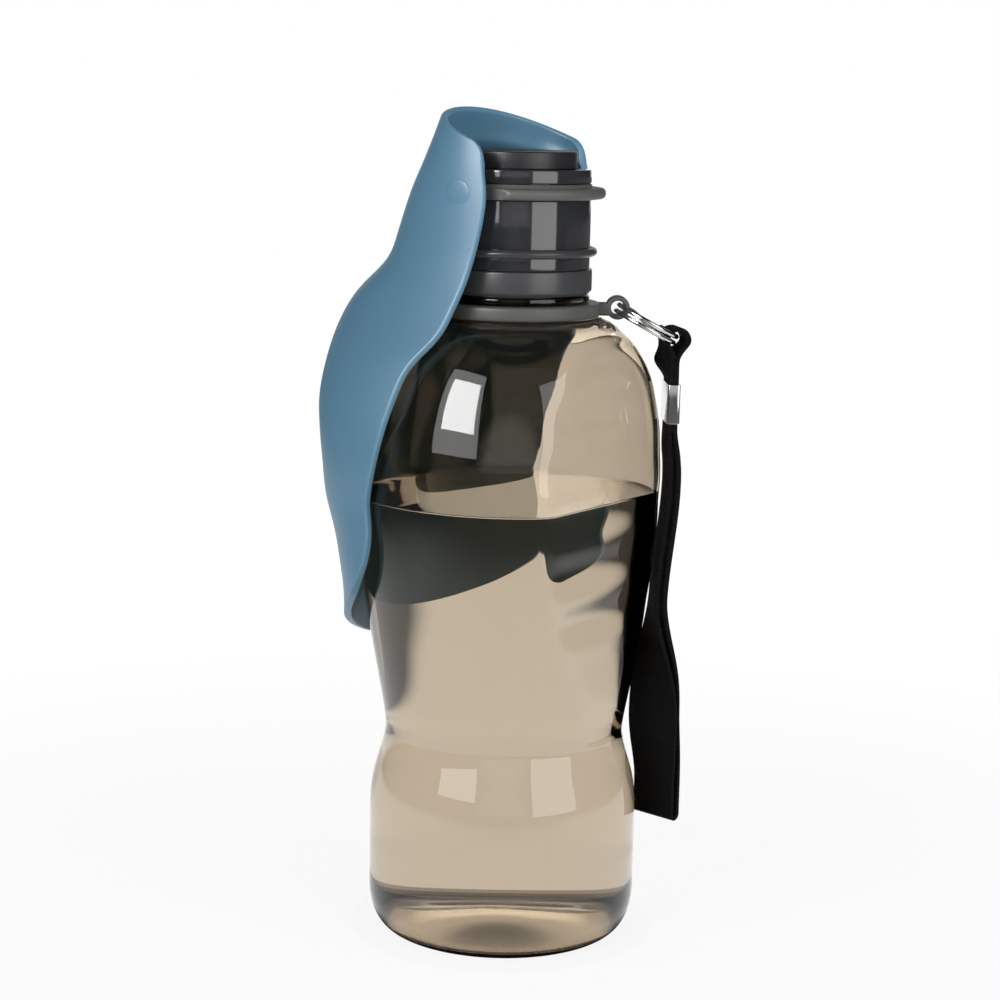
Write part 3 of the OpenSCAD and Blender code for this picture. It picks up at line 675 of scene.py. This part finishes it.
drum = turned("cap_drum_gloss", [
    (DRUM_BORE, DRUM_Z, 0.2), (CAP_R, DRUM_Z, 0.35),
    (CAP_R, BEAD_Z - 1.02, 0.12), (CAP_R - 0.4, BEAD_Z - 0.6, 0), (CAP_R - 0.45, BEAD_Z, 0),
    (CAP_R - 0.4, BEAD_Z + 0.6, 0), (CAP_R, BEAD_Z + 1.02, 0.12),
    (CAP_R, SEAT_Z, 0.4), (SEAT_R, SEAT_Z, 0), (SEAT_R, DECK_Z, 0.2), (SPIGOT_R, DECK_Z, 0),
    (SPIGOT_R, SPIGOT_TOP, 0.2), (GUIDE_R, SPIGOT_TOP, 0.2), (GUIDE_R, DECK_Z - DECK_T, 0.1),
    (CHAMBER_R, DECK_Z - DECK_T, 0), (CHAMBER_R, CHAMBER_Z, 0), (DRUM_BORE, CHAMBER_Z, 0),
], CAP_GLOSS)
fit(drum, "cap", "cap_gloss", "cap_drum")

bead = round_seal("seal_bead_round", BEAD_RING, BEAD_D / 2, BEAD_Z, 28, 160)
fit(bead, "cap", "seal_rubber", "seal_bead")

top_collar = turned("cap_collar_gloss", [
    (SPIGOT_R + 0.1, COLLAR_Z, 0), (CAP_R, COLLAR_Z, 0.35), (CAP_R, COLLAR_TOP, 0.55),
    (COLLAR_BORE, COLLAR_TOP, 0.2), (COLLAR_BORE, COLLAR_STEP, 0), (SPIGOT_R + 0.1, COLLAR_STEP, 0),
], CAP_GLOSS)
fit(top_collar, "cap", "cap_gloss", "cap_collar")

spout = turned("pull_spout_disc", [
    (TUBE_BORE, TUBE_Z, 0.3), (TUBE_BORE, KNOB_TOP - 2.5, 0), (OUTLET_R, KNOB_TOP - 2.5, 0),
    (OUTLET_R, KNOB_TOP, 0.4), (5.4, KNOB_TOP, 0.3), (5.8, 231.8, 0.3), (6.6, 231.8, 0.3), (7.0, KNOB_TOP, 0.3),
    (KNOB_R, KNOB_TOP, 0.6), (KNOB_R, KNOB_Z, 0.3), (TUBE_R, KNOB_Z, 0.2),
    (TUBE_R, ORING_Z + 1, 0), (ORING_SEAT, ORING_Z + 1, 0), (ORING_SEAT, ORING_Z - 1, 0), (TUBE_R, ORING_Z - 1, 0),
    (TUBE_R, TUBE_Z, 0.5),
], SPOUT)
fit(spout, "spout", "spout_black", "pull_spout")
oring = round_seal("spout_oring_round", ORING_RING, ORING_BAR, ORING_Z, 20, 96)
fit(oring, "spout", "seal_rubber", "spout_oring")
gasket = turned("neck_gasket_flat", [
    (GASKET_IN, GASKET_Z, 0.3), (GASKET_OUT, GASKET_Z, 0.3), (GASKET_OUT, GASKET_TOP, 0.3), (GASKET_IN, GASKET_TOP, 0.3),
], SILICONE)
fit(gasket, "gasket", "clear_seal", "neck_gasket")
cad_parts["spout_guide"].data.materials.clear()
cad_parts["spout_guide"].data.materials.append(GUIDE)

# ---------------------------------------------------------------- hinge ring
RING_Z, RING_T, RING_EDGE = 218.7, 3.2, 1.55
BOSS_X, BOSS_R, BOSS_T, PIN_HOLE = 24.4, 4.0, 4.4, 2.25


def boss(side):
    """A hinge ring's pivot boss, a short round block along X."""
    outlines = [circle(0, 0, BOSS_R, 64), circle(0, 0, PIN_HOLE)]
    place = Matrix.Translation(Vector((side * BOSS_X, 0, PIVOT_Z)) * MM) @ Matrix.Rotation(math.pi / 2, 4, "Y")
    return plate("boss", outlines, BOSS_T, 0.35, place, RING)


ring_body = turned("ring_body", [
    (SEAT_R + 0.05, RING_Z, 0.1), (RING_R, RING_Z, RING_EDGE), (RING_R, RING_Z + RING_T, RING_EDGE),
    (22.6, RING_Z + RING_T, 0.5), (CAP_R - 0.1, DECK_Z, 0.4), (SEAT_R + 0.05, DECK_Z, 0.1),
], RING, 200, flat_x=22.8)
hinge = join("hinge_ring_soft_edge", [ring_body, boss(-1), boss(1)])
fit(hinge, "swivel", "ring_grey", "hinge_ring")

# ---------------------------------------------------------------- trough
LEAF_WALL, RIDGE, RIM_SLANT, SLANT_REACH, CORNER = 2.2, 0.9, 7.9, 40.0, 4.0
RIM_Z = PIVOT_Z + 24.3 - RIM_SLANT
LEAF_LOW, LEAF_TIP, LEAF_WRAP = BELLY_Z - 7, BELLY_Z - 54, 80.0
RIDGE_DROP, RIDGE_HALF, FAR_DROP = 6.5, 2.6, 60.0
# Height, half depth, offset of the centre, half width, and how far the leaf wraps round in degrees
LEAF = np.array([
    [PIVOT_Z + 26.3, RING_R - 9.4, 0, RING_R - 0.6, 106],
    [PIVOT_Z + 15.7, RING_R - 4.3, 0, RING_R + 1.3, 106],
    [PIVOT_Z + 7.7, RING_R, 0, RING_R + 2.4, 106],
    [PIVOT_Z - 0.3, RING_R + 4.6, 0, RING_R + 3.1, 106],
    [PIVOT_Z - 11.3, RING_R + 9.2, 0, RING_R + 3.8, 102],
    [PIVOT_Z - 20.3, RING_R + 13.2, 0, RING_R + 4.8, 98],
    [SHOULDER_Z + 5.4, BELLY_R + 5.2, 0, BELLY_R - 12.3, 93],
    [SHOULDER_Z - 3.6, BELLY_R + 7.7, 3, BELLY_R - 8.5, 93],
    [BELLY_Z + 35, BELLY_R + 4.6, 8, BELLY_R - 3.8, 91],
    [BELLY_Z + 23, BELLY_R + 3.1, 11, BELLY_R - 0.5, 90],
    [BELLY_Z + 13, BELLY_R + 0.7, 12, BELLY_R + 1.1, 88],
    [BELLY_Z + 3, BELLY_R - 0.6, 12, BELLY_R + 0.7, 84],
    [LEAF_LOW, BELLY_R - 1.2, 12, BELLY_R - 1.1, 80],
    [BELLY_Z - 17, BELLY_R - 2.3, 9, BELLY_R - 0.3, 80],
    [BELLY_Z - 27, BELLY_R - 1, 5, BELLY_R + 1.2, 80],
    [BELLY_Z - 37, BELLY_R + 1.5, 1, BELLY_R + 2.4, 80],
    [LEAF_TIP - 2, BELLY_R + 2.6, 0, BELLY_R + 2.6, 80],
])


def leaf_table():
    """The leaf's sections with a smooth curve through them, from the tip upwards."""
    rows = []
    last = len(LEAF) - 1
    for i in range(last):
        p, q, r, s = LEAF[max(i - 1, 0)], LEAF[i], LEAF[i + 1], LEAF[min(i + 2, last)]
        for t in np.linspace(0, 1, 12, endpoint=False):
            rows.append(q + 0.5 * t * (r - p + t * (2 * p - 5 * q + 4 * r - s + t * (3 * q - 3 * r + s - p))))
    return np.array([*rows, LEAF[last]])[::-1]


LEAF_TABLE = leaf_table()


def leaf_size(z, column):
    return np.interp(z, LEAF_TABLE[:, 0], LEAF_TABLE[:, column])


def leaf_skin(z, a):
    a = np.radians(a)
    return np.stack([leaf_size(z, 3) * np.sin(a), -leaf_size(z, 2) - leaf_size(z, 1) * np.cos(a), z], -1)


def leaf_normal(z, a):
    n = np.cross(leaf_skin(z, a + 1) - leaf_skin(z, a - 1), leaf_skin(z + 1, a) - leaf_skin(z - 1, a))
    return n / np.linalg.norm(n, axis=-1, keepdims=True)


def leaf_tip_edge(count=400):
    """The rounded lower edge of the leaf from side to side, as angle and height, in even steps."""
    s = np.linspace(0, 1, count)
    wrap = LEAF_WRAP * np.cos(math.pi / 2 * s) ** 0.8
    height = LEAF_LOW + (LEAF_TIP - LEAF_LOW) * s
    half = np.stack([-wrap, height], 1)
    edge = np.concatenate([half, (half * [-1, 1])[::-1][1:]])
    run = np.concatenate([[0], np.cumsum(np.hypot(np.diff(edge[:, 0]) * 0.87, np.diff(edge[:, 1])))])
    run /= run[-1]
    return lambda share: np.stack([np.interp(share, run, edge[:, 0]), np.interp(share, run, edge[:, 1])], -1)


def leaf_grid():
    """Angle, height and distance below the rim of the leaf's grid: rows down its sides, then a patch for its tip."""
    u = np.concatenate([[-1, -0.988], np.linspace(-1, 1, 35)[1:-1], [0.988, 1]])
    near_rim = [0, 0.8, 1.9, 3.1, 4.3, 5.4, 6.5, 7.6, 8.8, 10.6, 13.2]
    drops = np.concatenate([near_rim, np.linspace(16.5, RIM_Z - LEAF_LOW, 27)])
    rows = []
    for drop in drops:
        level = RIM_Z - drop
        wrap = leaf_size(np.array(level), 4)
        if drop < CORNER:
            wrap = wrap - 9 * (1 - math.sqrt(1 - (1 - drop / CORNER) ** 2))
        near = max(0.0, 1 - drop / SLANT_REACH)
        a = wrap * u
        slanted = level + RIM_SLANT * near * near * np.cos(np.radians(a))
        rows.append(np.stack([a, slanted, np.full_like(u, drop)], 1))
    edge, corner = leaf_tip_edge(), 0.2
    across = (u + 1) / 2
    top = np.stack([LEAF_WRAP * u, np.full_like(u, LEAF_LOW)], 1)
    low = edge(corner + (1 - 2 * corner) * across)
    for v in [*np.linspace(0, 1, 15)[1:-1], 0.985, 1]:
        side_a, side_b = edge(corner * v), edge(1 - corner * v)
        flat = (1 - v) * top + v * low + np.outer(1 - across, side_a) + np.outer(across, side_b)
        flat -= (1 - v) * (np.outer(1 - across, top[0]) + np.outer(across, top[-1]))
        flat -= v * (np.outer(1 - across, low[0]) + np.outer(across, low[-1]))
        rows.append(np.concatenate([flat, np.full((len(u), 1), FAR_DROP)], 1))
    return np.array(rows)


def trough():
    """The leaf: an outer and an inner skin, a ridge inside the rim, and a mark on the edge for a painted highlight and
    a little wear along it.
    """
    grid = leaf_grid()
    a, z, drop = grid[..., 0], grid[..., 1], grid[..., 2]
    outer = leaf_skin(z, a)
    wall = LEAF_WALL + RIDGE * np.maximum(0, 1 - np.abs(drop - RIDGE_DROP) / RIDGE_HALF)
    inner = outer - wall[..., None] * leaf_normal(z, a)
    rows, columns = a.shape
    half = rows * columns
    at = np.arange(half).reshape(rows, columns)
    skin = grid_faces(rows, columns, around=False)
    faces = skin + [(half + s, half + r, half + q, half + p) for p, q, r, s in skin]
    loop = [*at[0], *at[1:, -1], *at[-1, -2::-1], *at[-2:0:-1, 0]]
    for k, p in enumerate(loop):
        q = loop[(k + 1) % len(loop)]
        faces.append((q, p, half + p, half + q))
    made = new_object("trough_leaf", np.concatenate([outer.reshape(-1, 3), inner.reshape(-1, 3)]), faces)
    # marks the edge, where the leaf gets a painted highlight and a little wear
    rim = made.data.attributes.new("rim", "FLOAT", "POINT")
    on_edge = np.zeros(2 * half)
    on_edge[loop] = on_edge[np.array(loop) + half] = 1
    rim.data.foreach_set("value", on_edge)
    finer = made.modifiers.new("finer", "SUBSURF")
    finer.levels = finer.render_levels = 2
    return shade(settle(made), TROUGH, 70)


leaf = trough()
fit(leaf, "leaf", "trough_plastic", "trough")

PIN_X, PIN_R, HEAD_X, HEAD_R, HEAD_RISE = 22.6, 2.2, 28.3, 4.0, 0.42


def pin(side):
    """A pivot pin with a low domed head that sits in the leaf's side."""
    outline = [
        (0, PIN_X, 0), (PIN_R - 0.3, PIN_X, 0), (PIN_R, PIN_X + 0.3, 0.1), (PIN_R, HEAD_X, 0),
        (HEAD_R, HEAD_X, 0), (HEAD_R, 29.0, 0.2),
    ]
    dome = [
        (HEAD_R * math.cos(t), 29.1 + HEAD_RISE * math.sin(t), 0)
        for t in np.linspace(0.15, math.pi / 2, 9)
    ]
    made = turned("pin", outline + dome, TROUGH, 64)
    made.data.transform(Matrix.Translation(Vector((0, 0, PIVOT_Z * MM))) @ Matrix.Rotation(side * math.pi / 2, 4, "Y"))
    return made


pins = join("hinge_pins_domed", [pin(-1), pin(1)])
fit(pins, "leaf", "trough_plastic", "hinge_pins")

# ---------------------------------------------------------------- strap ring, split ring and webbing
STRAP_TURN = Matrix.Rotation(math.radians(37), 4, "Z")
EAR_Y, EAR_Z, EAR_R, EAR_HOLE, EAR_T = 30.6, 187.2, 3.5, 2.0, 4.5
SPLIT_R, SPLIT_TILT, WIRE_D = 9.7, math.radians(28), 1.4
SPLIT_Y, SPLIT_Z = 39.165, 182.646
HANG_Y, HANG_Z = 47.729, 178.092
BAND_Z, BAND_T, BAND_R = 184.7, 4.0, 25.4


def ear():
    """The upright ear on the strap's ring, drawn flat and stood up along the ring's radius."""
    low, high = BAND_Z + 0.1, BAND_Z + BAND_T - 0.1
    outline = [(BAND_R - 2.6, low)]
    start = math.asin((EAR_Z - low) / EAR_R)
    end = math.asin((high - EAR_Z) / EAR_R)
    for k in range(41):
        t = -math.pi + start + (2 * math.pi - start - end) * k / 40
        outline.append((EAR_Y + EAR_R * math.cos(t), EAR_Z + EAR_R * math.sin(t)))
    outline.append((BAND_R - 2.6, high))
    stand = Matrix(((0, 0, 1, 0), (1, 0, 0, 0), (0, 1, 0, 0), (0, 0, 0, 1)))
    return plate("ear", [outline, circle(EAR_Y, EAR_Z, EAR_HOLE)], EAR_T, 0.7, STRAP_TURN @ stand, STRAP_RING)


band = turned("band", [
    (18.7, BAND_Z, 0.3), (BAND_R, BAND_Z, 0.9), (BAND_R, BAND_Z + BAND_T, 0.9), (18.7, BAND_Z + BAND_T, 0.3),
], STRAP_RING)
fit(join("strap_ring_soft_edge", [band, ear()]), "neck_ring", "strap_ring_grey", "strap_ring")


def split_ring():
    """Two turns of steel wire: flat, a short jog over the ends, and the second turn beside the first."""
    jog, pitch, steps, sides = 30, WIRE_D + 0.45, 200, 16
    angles = np.linspace(jog + 3, 720 - jog - 3, steps)
    up = pitch * (smooth(360 - jog, 360 + jog, angles) - 0.5)
    points = []
    for a, height in zip(np.radians(angles + 180), up):
        for k in range(sides):
            t = 2 * math.pi * k / sides
            out = SPLIT_R + WIRE_D / 2 * math.cos(t)
            points.append((out * math.cos(a), out * math.sin(a), height + WIRE_D / 2 * math.sin(t)))
    faces = grid_faces(steps, sides) + [tuple(range(sides)), tuple(range((steps - 1) * sides, steps * sides))]
    made = new_object("split_ring_wire", points, faces)
    place = Matrix.Translation(Vector((0, SPLIT_Y, SPLIT_Z)) * MM) @ Matrix.Rotation(-SPLIT_TILT, 4, "X")
    made.data.transform(STRAP_TURN @ place)
    return shade(made, STEEL, 50)


fit(split_ring(), "key_ring", "steel", "split_ring")

WEB_W, WEB_T, NARROW, HANG_R, BEND_R = 15.0, 1.3, 9.0, 2.6, 1.3
CRIMP_Y, CRIMP_Z, CRIMP_H, STRAP_Y, STRAP_Z = 47.129, 153.992, 11.5, 48.15, 35.042
CRIMP_TOP = CRIMP_Z + CRIMP_H


def between(a, b, share):
    return a + (b - a) * share


def web_y(z):
    """How far out the webbing hangs: nearest the bottle at the waist, and slack above the clamp."""
    hang = STRAP_Y - 1.45 - 1.5 * smooth(44, 66, z) + 2.95 * smooth(98, BELLY_Z, z)
    low = between(hang, CRIMP_Y, smooth(CRIMP_Z - 16, CRIMP_Z - 2, z))
    slack = 1.8 * smooth(CRIMP_TOP, 172, z) * (1 - smooth(172, HANG_Z - 0.5, z))
    return between(low, HANG_Y, smooth(CRIMP_TOP + 1, HANG_Z, z)) - slack


def web_half(z):
    """Half the distance between the two layers' middles."""
    low = between(BEND_R, (WEB_T + 0.1) / 2, smooth(CRIMP_Z - 10, CRIMP_Z - 1, z))
    return between(low, HANG_R + WEB_T / 2, smooth(HANG_Z - 5.5, HANG_Z, z))


def web_turn(z):
    """The webbing's twist in degrees: most at the waist, none at the belly, and a little over the clamp."""
    low = 43 + 27 * smooth(44, 68, z) - 70 * smooth(60, 102, z)
    return low + 24 * smooth(CRIMP_TOP, 174, z) - 16 * smooth(173, HANG_Z - 0.5, z)


def web_section(count=15):
    """Half widths and half thicknesses round the webbing: yarn ridges on its faces and a rounded selvedge."""
    face = np.linspace(-1, 1, count)
    ridge = 1 - 0.05 * (np.arange(count) % 2)
    side = [(1.0, 0.55), (1.0, 0.0), (1.0, -0.55)]
    front = [(x * 0.985, t) for x, t in zip(face, ridge)]
    back_face = [(x * 0.985, -t) for x, t in zip(face[::-1], ridge)]
    return np.array(front + side + back_face + [(-x, -t) for x, t in side])


def webbing():
    """The webbing's closed loop: down from the split ring, round the lower bend, back up and over the ring."""
    section = web_section()
    crimp_over = CRIMP_TOP + 0.5
    levels = np.concatenate([
        np.linspace(HANG_Z, crimp_over, 26)[:-1], np.linspace(crimp_over, CRIMP_Z - 1, 6)[:-1],
        np.linspace(CRIMP_Z - 1, STRAP_Z, 70),
    ])
    stations = [(web_half(z), z, 1.0, 0.0) for z in levels]
    for t in np.linspace(0, math.pi, 14)[1:-1]:
        stations.append((BEND_R * math.cos(t), STRAP_Z - BEND_R * math.sin(t), math.cos(t), -math.sin(t)))
    stations += [(-web_half(z), z, -1.0, 0.0) for z in levels[::-1]]
    r = HANG_R + WEB_T / 2
    for t in np.linspace(math.pi, 0, 20)[1:-1]:
        stations.append((r * math.cos(t), HANG_Z + r * math.sin(t), math.cos(t), math.sin(t)))
    points, uvs, run, last = [], [], 0.0, None
    for off, z, ny, nz in stations:
        level = min(max(z, STRAP_Z), HANG_Z)
        turn_by = math.radians(web_turn(level))
        half = between(WEB_W, NARROW, smooth(CRIMP_TOP + 0.5, HANG_Z - 1.5, level)) / 2
        middle = np.array([web_y(level) + off, z])
        run += 0 if last is None else np.linalg.norm(middle - last)
        last = middle
        for across, through in section:
            x = across * half
            y = off + through * WEB_T / 2 * ny
            points.append((
                x * math.cos(turn_by) - y * math.sin(turn_by),
                web_y(level) + x * math.sin(turn_by) + y * math.cos(turn_by), z + through * WEB_T / 2 * nz,
            ))
            uvs.append((run, x))
    count = len(section)
    faces = grid_faces(len(stations), count)
    last_ring = (len(stations) - 1) * count
    faces += [(last_ring + j, last_ring + (j + 1) % count, (j + 1) % count, j) for j in range(count)]
    made = new_object("wrist_strap_webbing", points, faces)
    layer = made.data.uv_layers.new(name="weave")
    for loop in made.data.loops:
        layer.data[loop.index].uv = uvs[loop.vertex_index]
    made.data.transform(STRAP_TURN)
    return shade(made, WEBBING, 60)


def crimp():
    """A steel clamp folded round both layers of the webbing."""
    half_w, half_h, sheet = (WEB_W + 0.1) / 2, (2 * WEB_T + 0.2) / 2, 0.5
    corners = [(-1, -1), (1, -1), (1, 1), (-1, 1)]
    outer = rounded([(x * (half_w + sheet), y * (half_h + sheet), 0.9) for x, y in corners], 6)
    hole = rounded([(x * half_w, y * half_h, 0.4) for x, y in corners])
    place = STRAP_TURN @ Matrix.Translation(Vector((0, CRIMP_Y, CRIMP_Z + CRIMP_H / 2)) * MM)
    return plate("crimp_folded", [outer, hole], CRIMP_H, 0.15, place, STEEL)


web = webbing()
clamp = crimp()
fit(web, "strap", "webbing", "wrist_strap")
fit(clamp, "strap", "steel", "strap_crimp")

# ---------------------------------------------------------------- floor, light and background
class Rays:
    """What kind of ray looks at a surface. mirrored and through leave out rays past a diffuse bounce."""

    def __init__(self, nodes):
        path = nodes.add("ShaderNodeLightPath", out=None)
        self.camera, self.mirrored, self.through, depth = (
            Value(nodes, path.outputs[name])
            for name in ("Is Camera Ray", "Is Glossy Ray", "Is Transmission Ray", "Diffuse Depth")
        )
        direct = 1 - depth.above(0.5)
        self.inside = self.through
        self.mirrored = self.mirrored * direct
        self.through = self.through * direct


def ramp(nodes, value, start, end, low, high):
    """A smooth step between two levels."""
    return nodes.add("ShaderNodeMapRange", {"interpolation_type": "SMOOTHSTEP"}, {
        "Value": value, "From Min": start, "From Max": end, "To Min": low, "To Max": high})


def toward(nodes, kind, direction):
    return nodes.add("ShaderNodeVectorMath", {"operation": "DOT_PRODUCT"},
                     {0: nodes.add("ShaderNodeTexCoord", out=kind), 1: tuple(direction)}, "Value")


def floor_finish():
    """White table. What looks straight at it sees mostly plain white and a trace of the bottle's soft shadow.

    Seen through the bottle or mirrored, it is white behind the bottle and shaded under it.
    """
    f = Finish("floor_white")
    rays = Rays(f)
    away = f.add("ShaderNodeVectorMath", {"operation": "LENGTH"}, {0: f.place()}, "Value")
    ahead = ramp(f, toward(f, "Object", back), 0.1, 0.4, 1.0, 0.1)
    beside = ramp(f, toward(f, "Object", right).size(), 0.25, 0.55, 1.0, 0.1)
    lit = ahead * beside * (ramp(f, away, 0.024, 0.031, 0.6, 0.02) + ramp(f, away, 0.036, 0.046, 0.0, 1.0))
    seen = (rays.camera * ramp(f, away, 0.1, 0.5, 0.88, 1.0)).either(rays.mirrored.either(rays.through))
    level = rays.camera.either(lit)
    plain = f.add("ShaderNodeBsdfDiffuse", None, {"Color": rgb(0.94, 0.94, 0.94)})
    white = f.add("ShaderNodeEmission", None, {"Color": rgb(1, 1, 1), "Strength": level})
    return f.done(f.add("ShaderNodeMixShader", None, {0: seen, 1: plain, 2: white}))


TABLE, SUNK = 6000, 0.02
corners = [(x * TABLE, y * TABLE, -SUNK) for x, y in [(-1, -1), (1, -1), (1, 1), (-1, 1)]]
floor = new_object("floor", corners, [(0, 1, 2, 3)], turned_out=False)
floor.data.materials.append(floor_finish())


def sky():
    """White for what looks straight at it, and soft light for everything else.

    Through the bottle or mirrored, it is white behind the bottle and dim beside it. Mirrored, it is half
    lit behind the camera.
    """
    world = bpy.data.worlds.new("studio")
    world.use_nodes = True
    scene.world = world
    world.node_tree.nodes.clear()
    n = Nodes(world.node_tree)
    rays = Rays(n)
    behind = toward(n, "Generated", -back)
    seen_through = ramp(n, behind, 0.55, 0.85, 0.02, 1.0)
    seen_mirrored = ramp(n, behind, 0.88, 0.97, 0.02, 1.0) + ramp(n, behind, -0.9, -0.97, 0.0, 0.5)
    picked = rays.through.either(rays.mirrored)
    strength = rays.camera.either(rays.through * seen_through + rays.mirrored * seen_mirrored)
    soft = (1 - picked) * (0.3 - rays.inside * 0.28)
    light = n.add("ShaderNodeBackground", None, {"Color": rgb(1, 1, 1), "Strength": strength.either(soft)})
    n.add("ShaderNodeOutputWorld", None, {"Surface": light}, None)


sky()


def softbox(name, degrees, distance, width, low, high, radiance, lights=True):
    """A soft lamp beside the camera, by its angle from the view. One that lights nothing makes a highlight only."""
    lamp = bpy.data.lights.new(name, "AREA")
    lamp.shape = "RECTANGLE"
    lamp.size, lamp.size_y = width, high - low
    lamp.energy = radiance * math.pi * width * (high - low)
    made = bpy.data.objects.new(name, lamp)
    a = VIEW + math.radians(degrees)
    spot = Vector((math.sin(a), -math.cos(a), 0)) * distance + Vector((0, 0, (low + high) / 2))
    aim = Vector((0, 0, spot.z)) - spot
    made.matrix_world = Matrix.Translation(spot) @ aim.to_track_quat("-Z", "Y").to_matrix().to_4x4()
    made.visible_camera = made.visible_transmission = False
    made.visible_diffuse = lights
    scene.collection.objects.link(made)


softbox("softbox_left", -41, 1.0, 0.62, 0.2, 1.1, 3.2)
softbox("softbox_right", 45, 1.0, 0.72, 0.01, 0.95, 2.6)
softbox("highlight_left", -40, 1.0, 0.46, 0.36, 0.9, 17, False)
scene.view_settings.view_transform = "Standard"
